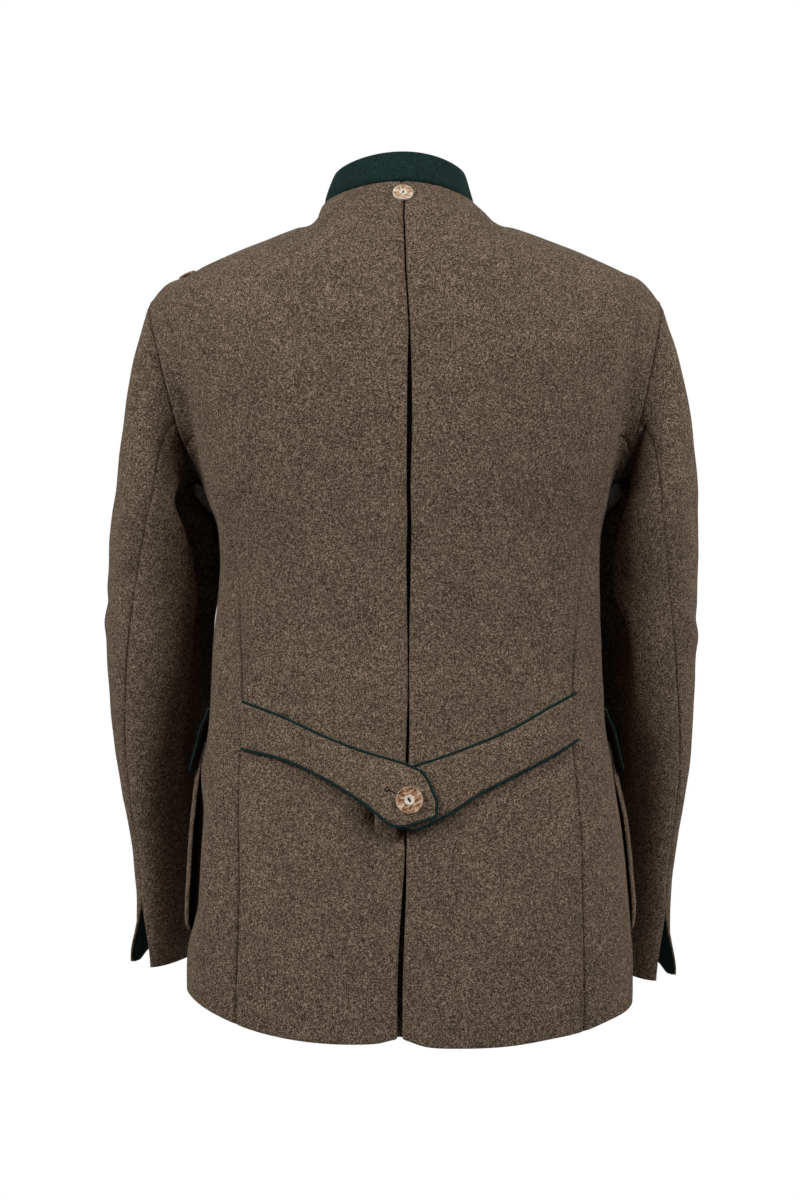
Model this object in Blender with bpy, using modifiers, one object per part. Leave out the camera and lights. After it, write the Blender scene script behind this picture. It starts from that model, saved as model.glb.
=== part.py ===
"""Tyrolean loden jacket, in the hollow shape in which it is worn, with no wearer in it.

Metres, +Z up. The jacket faces -Y, and +X is the wearer's left. The origin lies between the
shoulders, level with the points where the shoulder seams meet the collar.

The torso is one surface, torso(g, rise, side). g runs round half the body, from 0 at the centre
back to 1 at the centre front, and rise runs from 0 at the hem through 1 at the chest to 2 at the
neck, shoulder and armhole seams. The sleeve is sleeve(u, fall, side): u runs once round, from the
outside to the back, and fall runs from 0 at the armhole through 1 to 2 at the cuff. Each cloth
piece is cut from one of them, and a piece that lies on another is its surface moved outwards.
"""

import math
from collections import namedtuple

import bmesh
import bpy
import numpy as np
from mathutils import Vector

MM = 0.001
LEFT, RIGHT = 1, -1
SIDE_NAMES = {LEFT: "left", RIGHT: "right"}

# ---------------------------------------------------------------- driving sizes
CLOTH = 2.4 * MM
SEAM = 0.3 * MM
FELT = 1.4 * MM
COLLAR_CLOTH = 3.0 * MM

CHEST_Z = -0.285
HEM_NOTCH_Z, HEM_NOTCH_G = -0.762, 0.024

NECK_HALF_WIDTH = 71.5 * MM
NECK_MIDDLE_Y = -4 * MM
NECK_BACK, NECK_FRONT = 66 * MM, 74 * MM
NECK_BACK_RISE, NECK_FRONT_DROP = 10 * MM, 74 * MM

ARMHOLE_MIDDLE = (0.2225, 0.0, -0.180)
ARMHOLE_LEAN, ARMHOLE_RISE = 20.5 * MM, 86 * MM
ARMHOLE_BACK, ARMHOLE_FRONT = 53 * MM, 58 * MM
ARMHOLE_SCOOP = 10 * MM

# Where the top edge changes over, in g: neckline, shoulder seam, armhole, shoulder, neckline.
NECK_G, SHOULDER_G, FRONT_SHOULDER_G, FRONT_NECK_G = 0.115, 0.33, 0.67, 0.88
ARMHOLE_STATIONS = 16
BACK_SEAM_STATION, FRONT_SEAM_STATION = 6, 10
HIND_SEAM_STATION, FORE_SEAM_STATION = 5, 11
NECK_QUARTER = (0, 0.125, 0.25, 0.5, 0.75, 1)
SHOULDER_STATIONS = 6
BODY_ROWS, CHEST_ROWS = 15, 7
SLEEVE_HEAD_ROWS, SLEEVE_ROWS = 6, 12

FRONT_OVERLAP, FRONT_LAP = 20 * MM, CLOTH + 1.4 * MM
FRONT_EDGE_G, FRONT_LIFT_START = 0.985, 2.3
COLLAR_HEIGHT, COLLAR_LEAN = 28 * MM, 9 * MM
COLLAR_FRONT_SHARE = 0.95

# ---------------------------------------------------------------- tables
TorsoSection = namedtuple("TorsoSection", "z half_width back_y front_y side_y back_square front_square")
TORSO = [
    TorsoSection(-0.780, 0.2072, 0.137, -0.150, 0.030, 2.50, 2.05),
    TorsoSection(-0.700, 0.2074, 0.135, -0.149, 0.030, 2.50, 2.05),
    TorsoSection(-0.640, 0.2056, 0.131, -0.147, 0.029, 2.50, 2.05),
    TorsoSection(-0.600, 0.2025, 0.127, -0.145, 0.027, 2.50, 2.05),
    TorsoSection(-0.560, 0.1975, 0.121, -0.142, 0.024, 2.48, 2.05),
    TorsoSection(-0.530, 0.1922, 0.116, -0.139, 0.021, 2.46, 2.05),
    TorsoSection(-0.500, 0.1868, 0.111, -0.136, 0.018, 2.45, 2.06),
    TorsoSection(-0.460, 0.1845, 0.107, -0.133, 0.015, 2.45, 2.08),
    TorsoSection(-0.400, 0.1818, 0.106, -0.131, 0.012, 2.42, 2.12),
    TorsoSection(-0.350, 0.1790, 0.110, -0.131, 0.010, 2.40, 2.20),
    TorsoSection(-0.310, 0.1815, 0.114, -0.133, 0.008, 2.47, 2.30),
    TorsoSection(-0.285, 0.1880, 0.117, -0.135, 0.006, 2.55, 2.40),
]

HemPoint = namedtuple("HemPoint", "g left right")
HEM = [
    HemPoint(0.00, -0.7660, -0.7700),
    HemPoint(0.14, -0.7655, -0.7690),
    HemPoint(0.20, -0.7605, -0.7645),
    HemPoint(0.25, -0.7540, -0.7605),
    HemPoint(0.30, -0.7465, -0.7545),
    HemPoint(0.35, -0.7405, -0.7515),
    HemPoint(0.45, -0.7360, -0.7475),
    HemPoint(0.60, -0.7420, -0.7490),
    HemPoint(1.05, -0.7580, -0.7580),
]

ShoulderPoint = namedtuple("ShoulderPoint", "x y z")
SHOULDER = [
    ShoulderPoint(0.0715, -0.004, 0.000),
    ShoulderPoint(0.0750, -0.003, -0.0080),
    ShoulderPoint(0.0825, -0.003, -0.0164),
    ShoulderPoint(0.1010, -0.002, -0.0228),
    ShoulderPoint(0.1395, 0.000, -0.0386),
    ShoulderPoint(0.1757, 0.000, -0.0548),
    ShoulderPoint(0.2080, 0.001, -0.0695),
    ShoulderPoint(0.2333, 0.001, -0.0818),
    ShoulderPoint(0.2430, 0.000, -0.0940),
]

# How the cloth reaches the top edge above g: a direction and, by its length, a strength.
Arrival = namedtuple("Arrival", "g x y z")
ARRIVAL = [
    Arrival(0.000, 0.0000, -0.1847, 0.2188),
    Arrival(0.040, 0.0008, -0.2257, 0.1822),
    Arrival(0.080, -0.0119, -0.3330, 0.1240),
    Arrival(0.105, -0.0475, -0.4211, 0.1185),
    Arrival(0.125, -0.0594, -0.4433, 0.0621),
    Arrival(0.160, -0.0206, -0.4105, 0.0257),
    Arrival(0.200, 0.0085, -0.3821, -0.0051),
    Arrival(0.240, 0.0336, -0.3607, -0.0373),
    Arrival(0.280, 0.0674, -0.3367, -0.0589),
    Arrival(0.310, 0.1152, -0.3320, -0.0682),
    Arrival(0.322, 0.1440, -0.3376, -0.0811),
    Arrival(0.330, 0.1671, -0.3439, -0.0940),
    Arrival(0.338, 0.1578, -0.3038, -0.0641),
    Arrival(0.350, 0.1453, -0.2456, -0.0302),
    Arrival(0.370, 0.1277, -0.1574, 0.0026),
    Arrival(0.390, 0.1108, -0.0843, 0.0156),
    Arrival(0.410, 0.0909, -0.0299, 0.0172),
    Arrival(0.430, 0.0674, 0.0042, 0.0123),
    Arrival(0.460, 0.0332, 0.0205, -0.0015),
    Arrival(0.500, 0.0189, 0.0049, -0.0129),
    Arrival(0.540, 0.0352, -0.0324, 0.0013),
    Arrival(0.570, 0.0550, -0.0192, 0.0121),
    Arrival(0.590, 0.0760, 0.0164, 0.0149),
    Arrival(0.610, 0.1022, 0.0737, 0.0117),
    Arrival(0.630, 0.1304, 0.1507, -0.0017),
    Arrival(0.650, 0.1568, 0.2437, -0.0339),
    Arrival(0.662, 0.1703, 0.3052, -0.0672),
    Arrival(0.670, 0.1780, 0.3477, -0.0966),
    Arrival(0.678, 0.1518, 0.3475, -0.0823),
    Arrival(0.690, 0.1190, 0.3459, -0.0683),
    Arrival(0.720, 0.0654, 0.3417, -0.0579),
    Arrival(0.760, 0.0297, 0.3453, -0.0371),
    Arrival(0.800, 0.0052, 0.3475, -0.0095),
    Arrival(0.840, -0.0243, 0.3430, 0.0198),
    Arrival(0.865, -0.0525, 0.3547, 0.0556),
    Arrival(0.880, -0.0733, 0.3677, 0.1557),
    Arrival(0.895, -0.0382, 0.3146, 0.1619),
    Arrival(0.920, -0.0089, 0.2432, 0.1528),
    Arrival(0.960, 0.0007, 0.1804, 0.1252),
    Arrival(1.000, 0.0000, 0.1661, 0.1107),
]

SleeveSection = namedtuple("SleeveSection", "fall z x y across along turn lean")
SLEEVE = [
    SleeveSection(1.00, -0.300, 0.2308, -0.012, 0.0440, 0.076, 10, 0.00),
    SleeveSection(1.12, -0.350, 0.2290, -0.026, 0.0504, 0.072, 16, 0.04),
    SleeveSection(1.24, -0.400, 0.2333, -0.034, 0.0474, 0.070, 18, 0.08),
    SleeveSection(1.36, -0.450, 0.2340, -0.043, 0.0447, 0.068, 20, 0.13),
    SleeveSection(1.48, -0.500, 0.2349, -0.055, 0.0401, 0.067, 22, 0.18),
    SleeveSection(1.60, -0.550, 0.2320, -0.067, 0.0347, 0.066, 24, 0.22),
    SleeveSection(1.72, -0.600, 0.2265, -0.079, 0.0293, 0.066, 25, 0.24),
    SleeveSection(1.84, -0.650, 0.2240, -0.090, 0.0276, 0.066, 25, 0.24),
    SleeveSection(2.00, -0.720, 0.2235, -0.103, 0.0272, 0.066, 25, 0.22),
]
SLEEVE_EXTRA = {LEFT: 0.0, RIGHT: 13 * MM}
# The inner side of a sleeve, by the torso: at what height, over what height and by how much it is
# held off behind, and the same for its reach inwards in front.
Swell = namedtuple("Swell", "z height by")
HELD_OFF = {LEFT: Swell(-0.300, 0.060, 5 * MM), RIGHT: Swell(-0.345, 0.080, 9 * MM)}
REACHES_IN = {LEFT: Swell(-0.284, 0.055, 17 * MM), RIGHT: Swell(-0.276, 0.040, 12 * MM)}

Drift = namedtuple("Drift", "z torso sleeve")
DRIFT = [
    Drift(-0.780, -3.0 * MM, 2.5 * MM),
    Drift(-0.590, -3.0 * MM, 2.4 * MM),
    Drift(-0.545, -1.0 * MM, 2.6 * MM),
    Drift(-0.470, -1.0 * MM, 4.0 * MM),
    Drift(-0.410, -1.2 * MM, 4.3 * MM),
    Drift(-0.357, -3.2 * MM, 3.4 * MM),
    Drift(-0.310, -3.0 * MM, 1.5 * MM),
    Drift(-0.292, -2.0 * MM, 0.6 * MM),
    Drift(-0.276, -1.2 * MM, -1.0 * MM),
    Drift(-0.262, -1.2 * MM, -1.2 * MM),
    Drift(-0.200, -1.3 * MM, -1.3 * MM),
    Drift(-0.150, -0.2 * MM, -0.2 * MM),
    Drift(-0.090, 0.8 * MM, 0.8 * MM),
    Drift(-0.024, 1.2 * MM, 1.2 * MM),
    Drift(-0.010, 5.0 * MM, 5.0 * MM),
    Drift(0.040, 5.5 * MM, 5.5 * MM),
]

SeamLine = namedtuple("SeamLine", "at place")
BACK_SEAM = [
    SeamLine(0.0, 0.2475),
    SeamLine(0.30, 0.2503),
    SeamLine(0.50, 0.2690),
    SeamLine(0.66, 0.2815),
    SeamLine(1.0, 0.3550),
    SeamLine(1.5, 0.4200),
    SeamLine(2.0, 0.4575),
]
FRONT_SEAM = [SeamLine(0.0, 0.560), SeamLine(1.0, 0.555), SeamLine(2.0, 0.5425)]
HIND_SEAM = [
    SeamLine(0.0, 0.3125),
    SeamLine(0.4, 0.304),
    SeamLine(0.8, 0.289),
    SeamLine(1.0, 0.276),
    SeamLine(1.12, 0.256),
    SeamLine(1.24, 0.250),
    SeamLine(1.36, 0.238),
    SeamLine(1.7, 0.232),
    SeamLine(2.0, 0.240),
]

PleatLine = namedtuple("PleatLine", "z half_gap return_width bulge sway")
PLEAT = [
    PleatLine(-0.780, 2.1 * MM, 26 * MM, 5 * MM, 9.1 * MM),
    PleatLine(-0.690, 2.1 * MM, 26 * MM, 6 * MM, 8.8 * MM),
    PleatLine(-0.640, 1.6 * MM, 26 * MM, 7 * MM, 6.3 * MM),
    PleatLine(-0.605, 0.6 * MM, 26 * MM, 7 * MM, 4.3 * MM),
    PleatLine(-0.560, 0.5 * MM, 26 * MM, 7 * MM, 1.9 * MM),
    PleatLine(-0.500, 1.2 * MM, 26 * MM, 7 * MM, -0.5 * MM),
    PleatLine(-0.457, 0.4 * MM, 26 * MM, 7 * MM, -0.8 * MM),
    PleatLine(-0.418, 0.5 * MM, 26 * MM, 7 * MM, -0.9 * MM),
    PleatLine(-0.375, 1.3 * MM, 26 * MM, 8 * MM, 0.7 * MM),
    PleatLine(-0.338, 1.9 * MM, 26 * MM, 8 * MM, 1.5 * MM),
    PleatLine(-0.300, 1.7 * MM, 26 * MM, 8 * MM, -0.1 * MM),
    PleatLine(-0.178, 1.7 * MM, 24 * MM, 6 * MM, -1.9 * MM),
    PleatLine(-0.150, 0.9 * MM, 22 * MM, 4 * MM, -2.5 * MM),
    PleatLine(-0.136, 0.3 * MM, 20 * MM, 3 * MM, -2.8 * MM),
    PleatLine(-0.115, 0.25 * MM, 19 * MM, 3 * MM, -2.1 * MM),
    PleatLine(-0.090, 0.25 * MM, 18 * MM, 2 * MM, -0.9 * MM),
    PleatLine(-0.068, 0.25 * MM, 17 * MM, 2 * MM, 1.0 * MM),
    PleatLine(-0.047, 0.25 * MM, 16 * MM, 1 * MM, 2.5 * MM),
    PleatLine(-0.026, 0.25 * MM, 15 * MM, 1 * MM, 1.5 * MM),
    PleatLine(-0.013, 0.3 * MM, 15 * MM, 0 * MM, -2.3 * MM),
    PleatLine(0.010, 0.3 * MM, 14 * MM, 0 * MM, -2.5 * MM),
]
FOLD_RADIUS = CLOTH + 0.5 * MM
SWAY_G = 0.055
UNDERLAY_COLUMNS, UNDERLAY_TOP_CLEAR = 6, 4 * SEAM

Fold = namedtuple("Fold", "side g z half_height half_width depth")
FOLDS = [
    Fold(LEFT, 0.185, -0.640, 0.100, 0.040, 2.5 * MM),
    Fold(LEFT, 0.340, -0.640, 0.090, 0.036, -3.0 * MM),
    Fold(RIGHT, 0.180, -0.660, 0.110, 0.045, 2.0 * MM),
    Fold(RIGHT, 0.345, -0.400, 0.090, 0.036, 4.0 * MM),
    Fold(LEFT, 0.330, -0.410, 0.070, 0.034, 3.0 * MM),
]

BeltColumn = namedtuple("BeltColumn", "x top bottom lift")
BELT_COLUMNS = {
    LEFT: [
        BeltColumn(-0.0262, -0.5560, -0.5680, 6.4 * MM),
        BeltColumn(-0.0215, -0.5448, -0.5696, 6.6 * MM),
        BeltColumn(-0.0150, -0.5330, -0.5718, 6.8 * MM),
        BeltColumn(-0.0060, -0.5275, -0.5750, 6.8 * MM),
        BeltColumn(0.0060, -0.5230, -0.5760, 6.6 * MM),
        BeltColumn(0.0350, -0.5145, -0.5570, 5.6 * MM),
        BeltColumn(0.0720, -0.5005, -0.5345, 3.0 * MM),
        BeltColumn(0.1110, -0.4830, -0.5180, 1.6 * MM),
        BeltColumn(0.1480, -0.4700, -0.5100, 1.2 * MM),
    ],
    RIGHT: [
        BeltColumn(-0.1540, -0.4620, -0.5020, 1.4 * MM),
        BeltColumn(-0.1290, -0.4745, -0.5165, 1.5 * MM),
        BeltColumn(-0.0955, -0.4930, -0.5325, 1.7 * MM),
        BeltColumn(-0.0627, -0.5068, -0.5490, 2.2 * MM),
        BeltColumn(-0.0300, -0.5188, -0.5695, 2.8 * MM),
        BeltColumn(-0.0084, -0.5258, -0.5790, 3.0 * MM),
        BeltColumn(0.0100, -0.5320, -0.5740, 3.0 * MM),
    ],
}
BELT_CLOTH = 2.8 * MM
BELT_ROWS = 3
PIPING_RADIUS, PIPING_SIDES = 1.1 * MM, 6
PIPING_CLEAR = PIPING_RADIUS + SEAM

POCKET_G, POCKET_Z = (0.510, 0.790), (-0.690, -0.512)
POCKET_STAND, POCKET_BELLOWS = 6.7 * MM, 9 * MM
POCKET_CORNER, POCKET_STEPS = 20 * MM, (7, 10)
LAID_CLEAR, POCKET_CLEAR = 1.4 * MM, 1.0 * MM
FLAP_G, FLAP_Z = (0.502, 0.798), (-0.538, -0.479)
FLAP_STAND, FLAP_FLARE, FLAP_RISE = 9.8 * MM, 2.0 * MM, 0.42
FLAP_CORNER, FLAP_STEPS = 10 * MM, (4, 10)

VENT_FALL = 1.82
VENT_FLARE = (7.0 * MM, 2.0 * MM, 4.5 * MM)
VENT_FLARE_WIDTH = 0.07
VENT_OPEN_U = 0.043
FACING_ROWS, FACING_COLUMNS = 3, 5

BUTTON_STEPS = 14
ButtonSize = namedtuple("ButtonSize", "radius thick")
BELT_BUTTON = ButtonSize(12.0 * MM, 4.2 * MM)
NECK_BUTTON = ButtonSize(9.3 * MM, 3.6 * MM)
SHOULDER_BUTTON = ButtonSize(8.6 * MM, 3.4 * MM)
FRONT_BUTTON = ButtonSize(11.5 * MM, 4.2 * MM)
BELT_BUTTON_X, BELT_BUTTON_Z = -4.2 * MM, -0.5548
NECK_BUTTON_RISE, NECK_BUTTON_SINK = 1.9367, 0.5 * MM
SHOULDER_BUTTON_X, SHOULDER_BUTTON_CLEAR = 0.2070, 0.6 * MM
FRONT_BUTTON_COUNT, FRONT_BUTTON_CLEAR = 5, 0.3 * MM
FRONT_BUTTON_Z, FRONT_BUTTON_PITCH = -0.128, 94 * MM
FRONT_BUTTON_RISES = (0.3, 1.95)


# ---------------------------------------------------------------- small mathematics
def vectors(x, y, z):
    return np.stack(np.broadcast_arrays(x, y, z), axis=-1).astype(float)


def unit(v):
    return v / np.linalg.norm(v, axis=-1, keepdims=True)


def mix(a, b, t):
    return a + (b - a) * t


def smooth(t):
    t = np.clip(t, 0, 1)
    return t * t * (3 - 2 * t)


def bell(offset, half_width):
    return np.exp(-((offset / half_width) ** 2))


def hermite(p, leave, q, arrive, t):
    """The cubic from p to q that leaves and arrives with the slopes given."""
    t2, t3 = t * t, t * t * t
    return (2 * t3 - 3 * t2 + 1) * p + (t3 - 2 * t2 + t) * leave + (3 * t2 - 2 * t3) * q + (t3 - t2) * arrive


def read(table, name, at):
    """A column of a table at the values of its first column, on a smooth curve through its rows."""
    knots = np.array([row[0] for row in table])
    values = np.array([getattr(row, name) for row in table])
    slopes = np.gradient(values, knots)
    at = np.clip(at, knots[0], knots[-1])
    k = np.clip(np.searchsorted(knots, at, side="right") - 1, 0, len(knots) - 2)
    span = knots[k + 1] - knots[k]
    t = (at - knots[k]) / span
    return hermite(values[k], slopes[k] * span, values[k + 1], slopes[k + 1] * span, t)


def tangent(curve, at, step=1e-4):
    return unit(curve(at + step) - curve(at - step))


# ---------------------------------------------------------------- the seams round the top
def neckline(turn):
    """The neck seam: turn is 0 at the centre back, pi / 2 at the shoulder, pi at the centre front."""
    s, c = np.sin(turn), np.cos(turn)
    depth = np.where(c > 0, NECK_BACK, NECK_FRONT)
    rise = np.where(c > 0, NECK_BACK_RISE, -NECK_FRONT_DROP)
    return vectors(NECK_HALF_WIDTH * s, NECK_MIDDLE_Y + depth * c, rise * c * c)


def neck_out(turn):
    """The way in which the rims of the neck seam face."""
    s, c = np.sin(turn), np.cos(turn)
    return unit(vectors(0.85 * s, 0.92 * c, 0.40 + 0.13 * s * s))


def shoulder(share):
    """The shoulder seam, from the neck to the armhole."""
    x = mix(SHOULDER[0].x, SHOULDER[-1].x, share)
    return vectors(x, read(SHOULDER, "y", x), read(SHOULDER, "z", x))


def shoulder_out(share):
    along = tangent(shoulder, np.clip(share, 0.01, 0.99))
    across = vectors(-along[..., 2], 0, along[..., 0])
    share = np.asarray(share)[..., None]
    near_neck = mix(neck_out(math.pi / 2), across, smooth(share / 0.3))
    return unit(mix(near_neck, armhole_out(0.0), smooth((share - 0.7) / 0.3)))


def armhole(turn):
    """The armhole: turn is 0 at the shoulder seam, pi / 2 at the back, pi under the arm."""
    s, c = np.sin(turn), np.cos(turn)
    x = ARMHOLE_MIDDLE[0] + ARMHOLE_LEAN * c - np.where(s < 0, ARMHOLE_SCOOP * s * s, 0)
    y = ARMHOLE_MIDDLE[1] + np.where(s > 0, ARMHOLE_BACK, ARMHOLE_FRONT) * s
    return vectors(x, y, ARMHOLE_MIDDLE[2] + ARMHOLE_RISE * c)


def armhole_out(turn):
    s, c = np.sin(turn), np.cos(turn)
    return unit(vectors(0.2 + 1.28 * np.maximum(c, 0) ** 2, s, c))


def past_seam(curve, at, out, towards):
    """The unit step across a seam, along the cloth, to the side that `towards` points to."""
    step = unit(np.cross(tangent(curve, at), out))
    return step * np.sign(np.sum(step * towards, axis=-1, keepdims=True))


# ---------------------------------------------------------------- the torso surface
def ring(z, g):
    """A point of the level section at height z, g of the way from centre back to centre front."""
    s, c = np.sin(np.pi * g), np.cos(np.pi * g)
    square = np.where(c > 0, read(TORSO, "back_square", z), read(TORSO, "front_square", z))
    reach = (np.abs(s) ** square + np.abs(c) ** square) ** (-1 / square)
    side_y = read(TORSO, "side_y", z)
    depth = np.where(c > 0, read(TORSO, "back_y", z) - side_y, side_y - read(TORSO, "front_y", z))
    return vectors(read(TORSO, "half_width", z) * s * reach, side_y + depth * c * reach, z)


def neck_turn(g):
    back, front = g / NECK_G, 1 + (g - FRONT_NECK_G) / (1 - FRONT_NECK_G)
    return np.pi / 2 * np.where(g < 0.5, back, front)


def shoulder_share(g):
    back = (g - NECK_G) / (SHOULDER_G - NECK_G)
    front = (FRONT_NECK_G - g) / (FRONT_NECK_G - FRONT_SHOULDER_G)
    return np.clip(np.where(g < 0.5, back, front), 0, 1)


def armhole_turn(g):
    return 2 * np.pi * np.clip((g - SHOULDER_G) / (FRONT_SHOULDER_G - SHOULDER_G), 0, 1)


def is_neck(g):
    return ((g <= NECK_G) | (g >= FRONT_NECK_G))[..., None]


def is_shoulder(g):
    return (((g >= NECK_G) & (g <= SHOULDER_G)) | ((g >= FRONT_SHOULDER_G) & (g <= FRONT_NECK_G)))[..., None]


def is_armhole(g):
    return ((g >= SHOULDER_G) & (g <= FRONT_SHOULDER_G))[..., None]


def top_edge(g):
    """The top edge of the torso above g."""
    sewn = np.where(is_armhole(g), armhole(armhole_turn(g)), shoulder(shoulder_share(g)))
    return np.where(is_neck(g), neckline(neck_turn(g)), sewn)


def arrival(g):
    """The arrival at the top edge; past the centre front it mirrors that of the other half."""
    mirrored = np.where(g > 1, 2 - g, g)
    x = read(ARRIVAL, "x", mirrored) * np.where(g > 1, -1, 1)
    return vectors(x, read(ARRIVAL, "y", mirrored), read(ARRIVAL, "z", mirrored))


def top_out(g):
    """The way in which the rim of the top edge faces."""
    rims = np.where(is_shoulder(g), shoulder_out(shoulder_share(g)), armhole_out(armhole_turn(g)))
    return np.where(is_neck(g), neck_out(neck_turn(g)), rims)


def top_margin(g):
    """The half seam by which the torso stops short of its top edge; corners stop short twice."""
    way = arrival(g)
    turn, share, arm = neck_turn(g), shoulder_share(g), armhole_turn(g)
    neck = past_seam(neckline, turn, neck_out(turn), way)
    sewn = past_seam(shoulder, np.clip(share, 0.001, 0.999), shoulder_out(share), way)
    sleeve_side = past_seam(armhole, arm, armhole_out(arm), way)
    total = np.where(is_neck(g), neck, 0) + np.where(is_shoulder(g), sewn, 0)
    return -SEAM / 2 * (total + np.where(is_armhole(g), sleeve_side, 0))


def hem_z(g, side):
    """The height of the hem at girth g, with the shallow notch at the centre back."""
    level = np.where(side > 0, read(HEM, "left", np.abs(g)), read(HEM, "right", np.abs(g)))
    centre = np.where(side > 0, HEM[0].left, HEM[0].right)
    return level + (HEM_NOTCH_Z - centre) * bell(g, HEM_NOTCH_G)


def plain_torso(g, rise, side):
    """The torso without its folds, still on the wearer's left."""
    below = ring(mix(hem_z(g, side), CHEST_Z, np.minimum(rise, 1)), g)
    base = ring(CHEST_Z, g)
    edge = top_edge(g)
    reach = np.linalg.norm(edge - base, axis=-1, keepdims=True)
    leave = unit(base - ring(CHEST_Z - 0.01, g))
    above = hermite(base, leave * reach, edge, arrival(g), np.asarray(rise - 1)[..., None])
    return np.where(np.asarray(rise <= 1)[..., None], below, above)


def surface_normal(surface, a, b, step=2e-4):
    across = surface(a + step, b) - surface(a - step, b)
    up = surface(a, b + step) - surface(a, b - step)
    return unit(np.cross(up, across))


def torso(g, rise, side):
    """The outer face of the torso."""
    g, rise, side = np.broadcast_arrays(np.asarray(g, float), np.asarray(rise, float), side)
    point = plain_torso(g, rise, side)
    z = point[..., 2]
    push = np.zeros(z.shape)
    for fold in FOLDS:
        shape = bell(g - fold.g, fold.half_width) * bell(z - fold.z, fold.half_height)
        push = push - fold.depth * shape * (side == fold.side)
    normal = surface_normal(lambda a, b: plain_torso(a, b, side), g, rise)
    point = point + normal * push[..., None]
    shift = read(DRIFT, "torso", z) + read(PLEAT, "sway", z) * bell(g, SWAY_G)
    return vectors(point[..., 0] * side + shift, point[..., 1], z)


def torso_out(g, rise, side):
    """The outward normal of the torso."""
    side = np.asarray(side)
    found = surface_normal(lambda a, b: torso(a, b, side), np.asarray(g, float), np.minimum(rise, 1.999))
    return found * side[..., None]


def girth(distance, rise, at=0.0):
    """The change in g that covers a distance round the body, near girth `at`."""
    step = 0.01
    here = plain_torso(np.asarray(at + 0 * rise), rise, LEFT)
    there = plain_torso(np.asarray(at + step + 0 * rise), rise, LEFT)
    return distance * step / np.linalg.norm(there - here, axis=-1)


def rise_at(z, g, side):
    """The rise of a height below the chest."""
    bottom = hem_z(g, side)
    return (z - bottom) / (CHEST_Z - bottom)


def spot_on_back(x, z):
    """The girth, rise and side of the place on the back, below the chest, at x and z."""
    side = np.where(x - read(DRIFT, "torso", z) >= 0, LEFT, RIGHT)
    square = read(TORSO, "back_square", z)
    wide = np.abs(x - read(DRIFT, "torso", z)) / read(TORSO, "half_width", z)
    g = np.arctan2(wide, (1 - wide**square) ** (1 / square)) / np.pi
    return g, rise_at(z, g, side), side


# ---------------------------------------------------------------- the sleeve surface
def sleeve_ring(u, fall, side):
    """A point of the sleeve's section below the armhole, before it is set to its side."""
    turn = np.radians(read(SLEEVE, "turn", fall))
    a = read(SLEEVE, "across", fall) * np.cos(2 * np.pi * u)
    b = read(SLEEVE, "along", fall) * np.sin(2 * np.pi * u)
    inner, behind = np.maximum(-np.cos(2 * np.pi * u), 0), np.sin(2 * np.pi * u)
    swells = HELD_OFF[side], REACHES_IN[side]
    off, towards = [swell.by * bell(read(SLEEVE, "z", fall) - swell.z, swell.height) for swell in swells]
    a += inner * (off * (1 + behind) / 2 - towards * np.maximum(-behind, 0))
    dx, dy = a * np.cos(turn) + b * np.sin(turn), b * np.cos(turn) - a * np.sin(turn)
    z = read(SLEEVE, "z", fall) - read(SLEEVE, "lean", fall) * dy
    return vectors(read(SLEEVE, "x", fall) + dx, read(SLEEVE, "y", fall) + dy, z)


def sleeve_leave(turn):
    """The direction in which the sleeve's cloth leaves the armhole."""
    s, under = np.sin(turn), np.maximum(-np.cos(turn), 0)
    outwards = 0.24 + 0.56 * s * s + under * (0.62 - 1.10 * np.maximum(-s, 0))
    return unit(vectors(outwards, 0.12 * s, -0.95 + 0.50 * s * s + 0.29 * under))


def sleeve(u, fall, side):
    """The outer face of a sleeve."""
    u, fall = np.broadcast_arrays(np.asarray(u, float), np.asarray(fall, float))
    turn = 2 * np.pi * u
    start, end = armhole(turn), sleeve_ring(u, np.ones(u.shape), side)
    reach = np.linalg.norm(end - start, axis=-1, keepdims=True)
    arrive = unit(sleeve_ring(u, np.full(u.shape, 1.03), side) - end)
    softness = (1 - 0.45 * np.sin(turn) ** 2)[..., None]
    head = hermite(start, sleeve_leave(turn) * reach * softness, end, arrive * reach, fall[..., None])
    point = np.where((fall < 1)[..., None], head, sleeve_ring(u, np.maximum(fall, 1), side))
    shift = read(DRIFT, "sleeve", point[..., 2])
    longer = SLEEVE_EXTRA[side] * np.clip(fall - 1, 0, None)
    return vectors(point[..., 0] * side + shift, point[..., 1], point[..., 2] - longer)


def sleeve_out(u, fall, side):
    """The outward normal of a sleeve."""
    found = surface_normal(lambda a, b: sleeve(a, b, side), np.asarray(u, float), np.maximum(fall, 0.001))
    return found * side


# ---------------------------------------------------------------- making solids
def clear_scene():
    for obj in list(bpy.data.objects):
        bpy.data.objects.remove(obj, do_unlink=True)


def new_collection(name):
    made = bpy.data.collections.new(name)
    bpy.context.scene.collection.children.link(made)
    return made


def plain_material(name, color, roughness):
    made = bpy.data.materials.new(name)
    made.use_nodes = True
    shader = made.node_tree.nodes["Principled BSDF"]
    shader.inputs["Base Color"].default_value = (*color, 1)
    shader.inputs["Roughness"].default_value = roughness
    shader.inputs["Metallic"].default_value = 0
    return made


def border_of(rows, columns):
    """The numbers of a grid's border points, once round."""
    wide = columns + 1
    bottom = list(range(columns))
    right = [r * wide + columns for r in range(rows)]
    top = [rows * wide + c for c in range(columns, 0, -1)]
    left = [r * wide for r in range(rows, 0, -1)]
    return bottom + right + top + left


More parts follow.
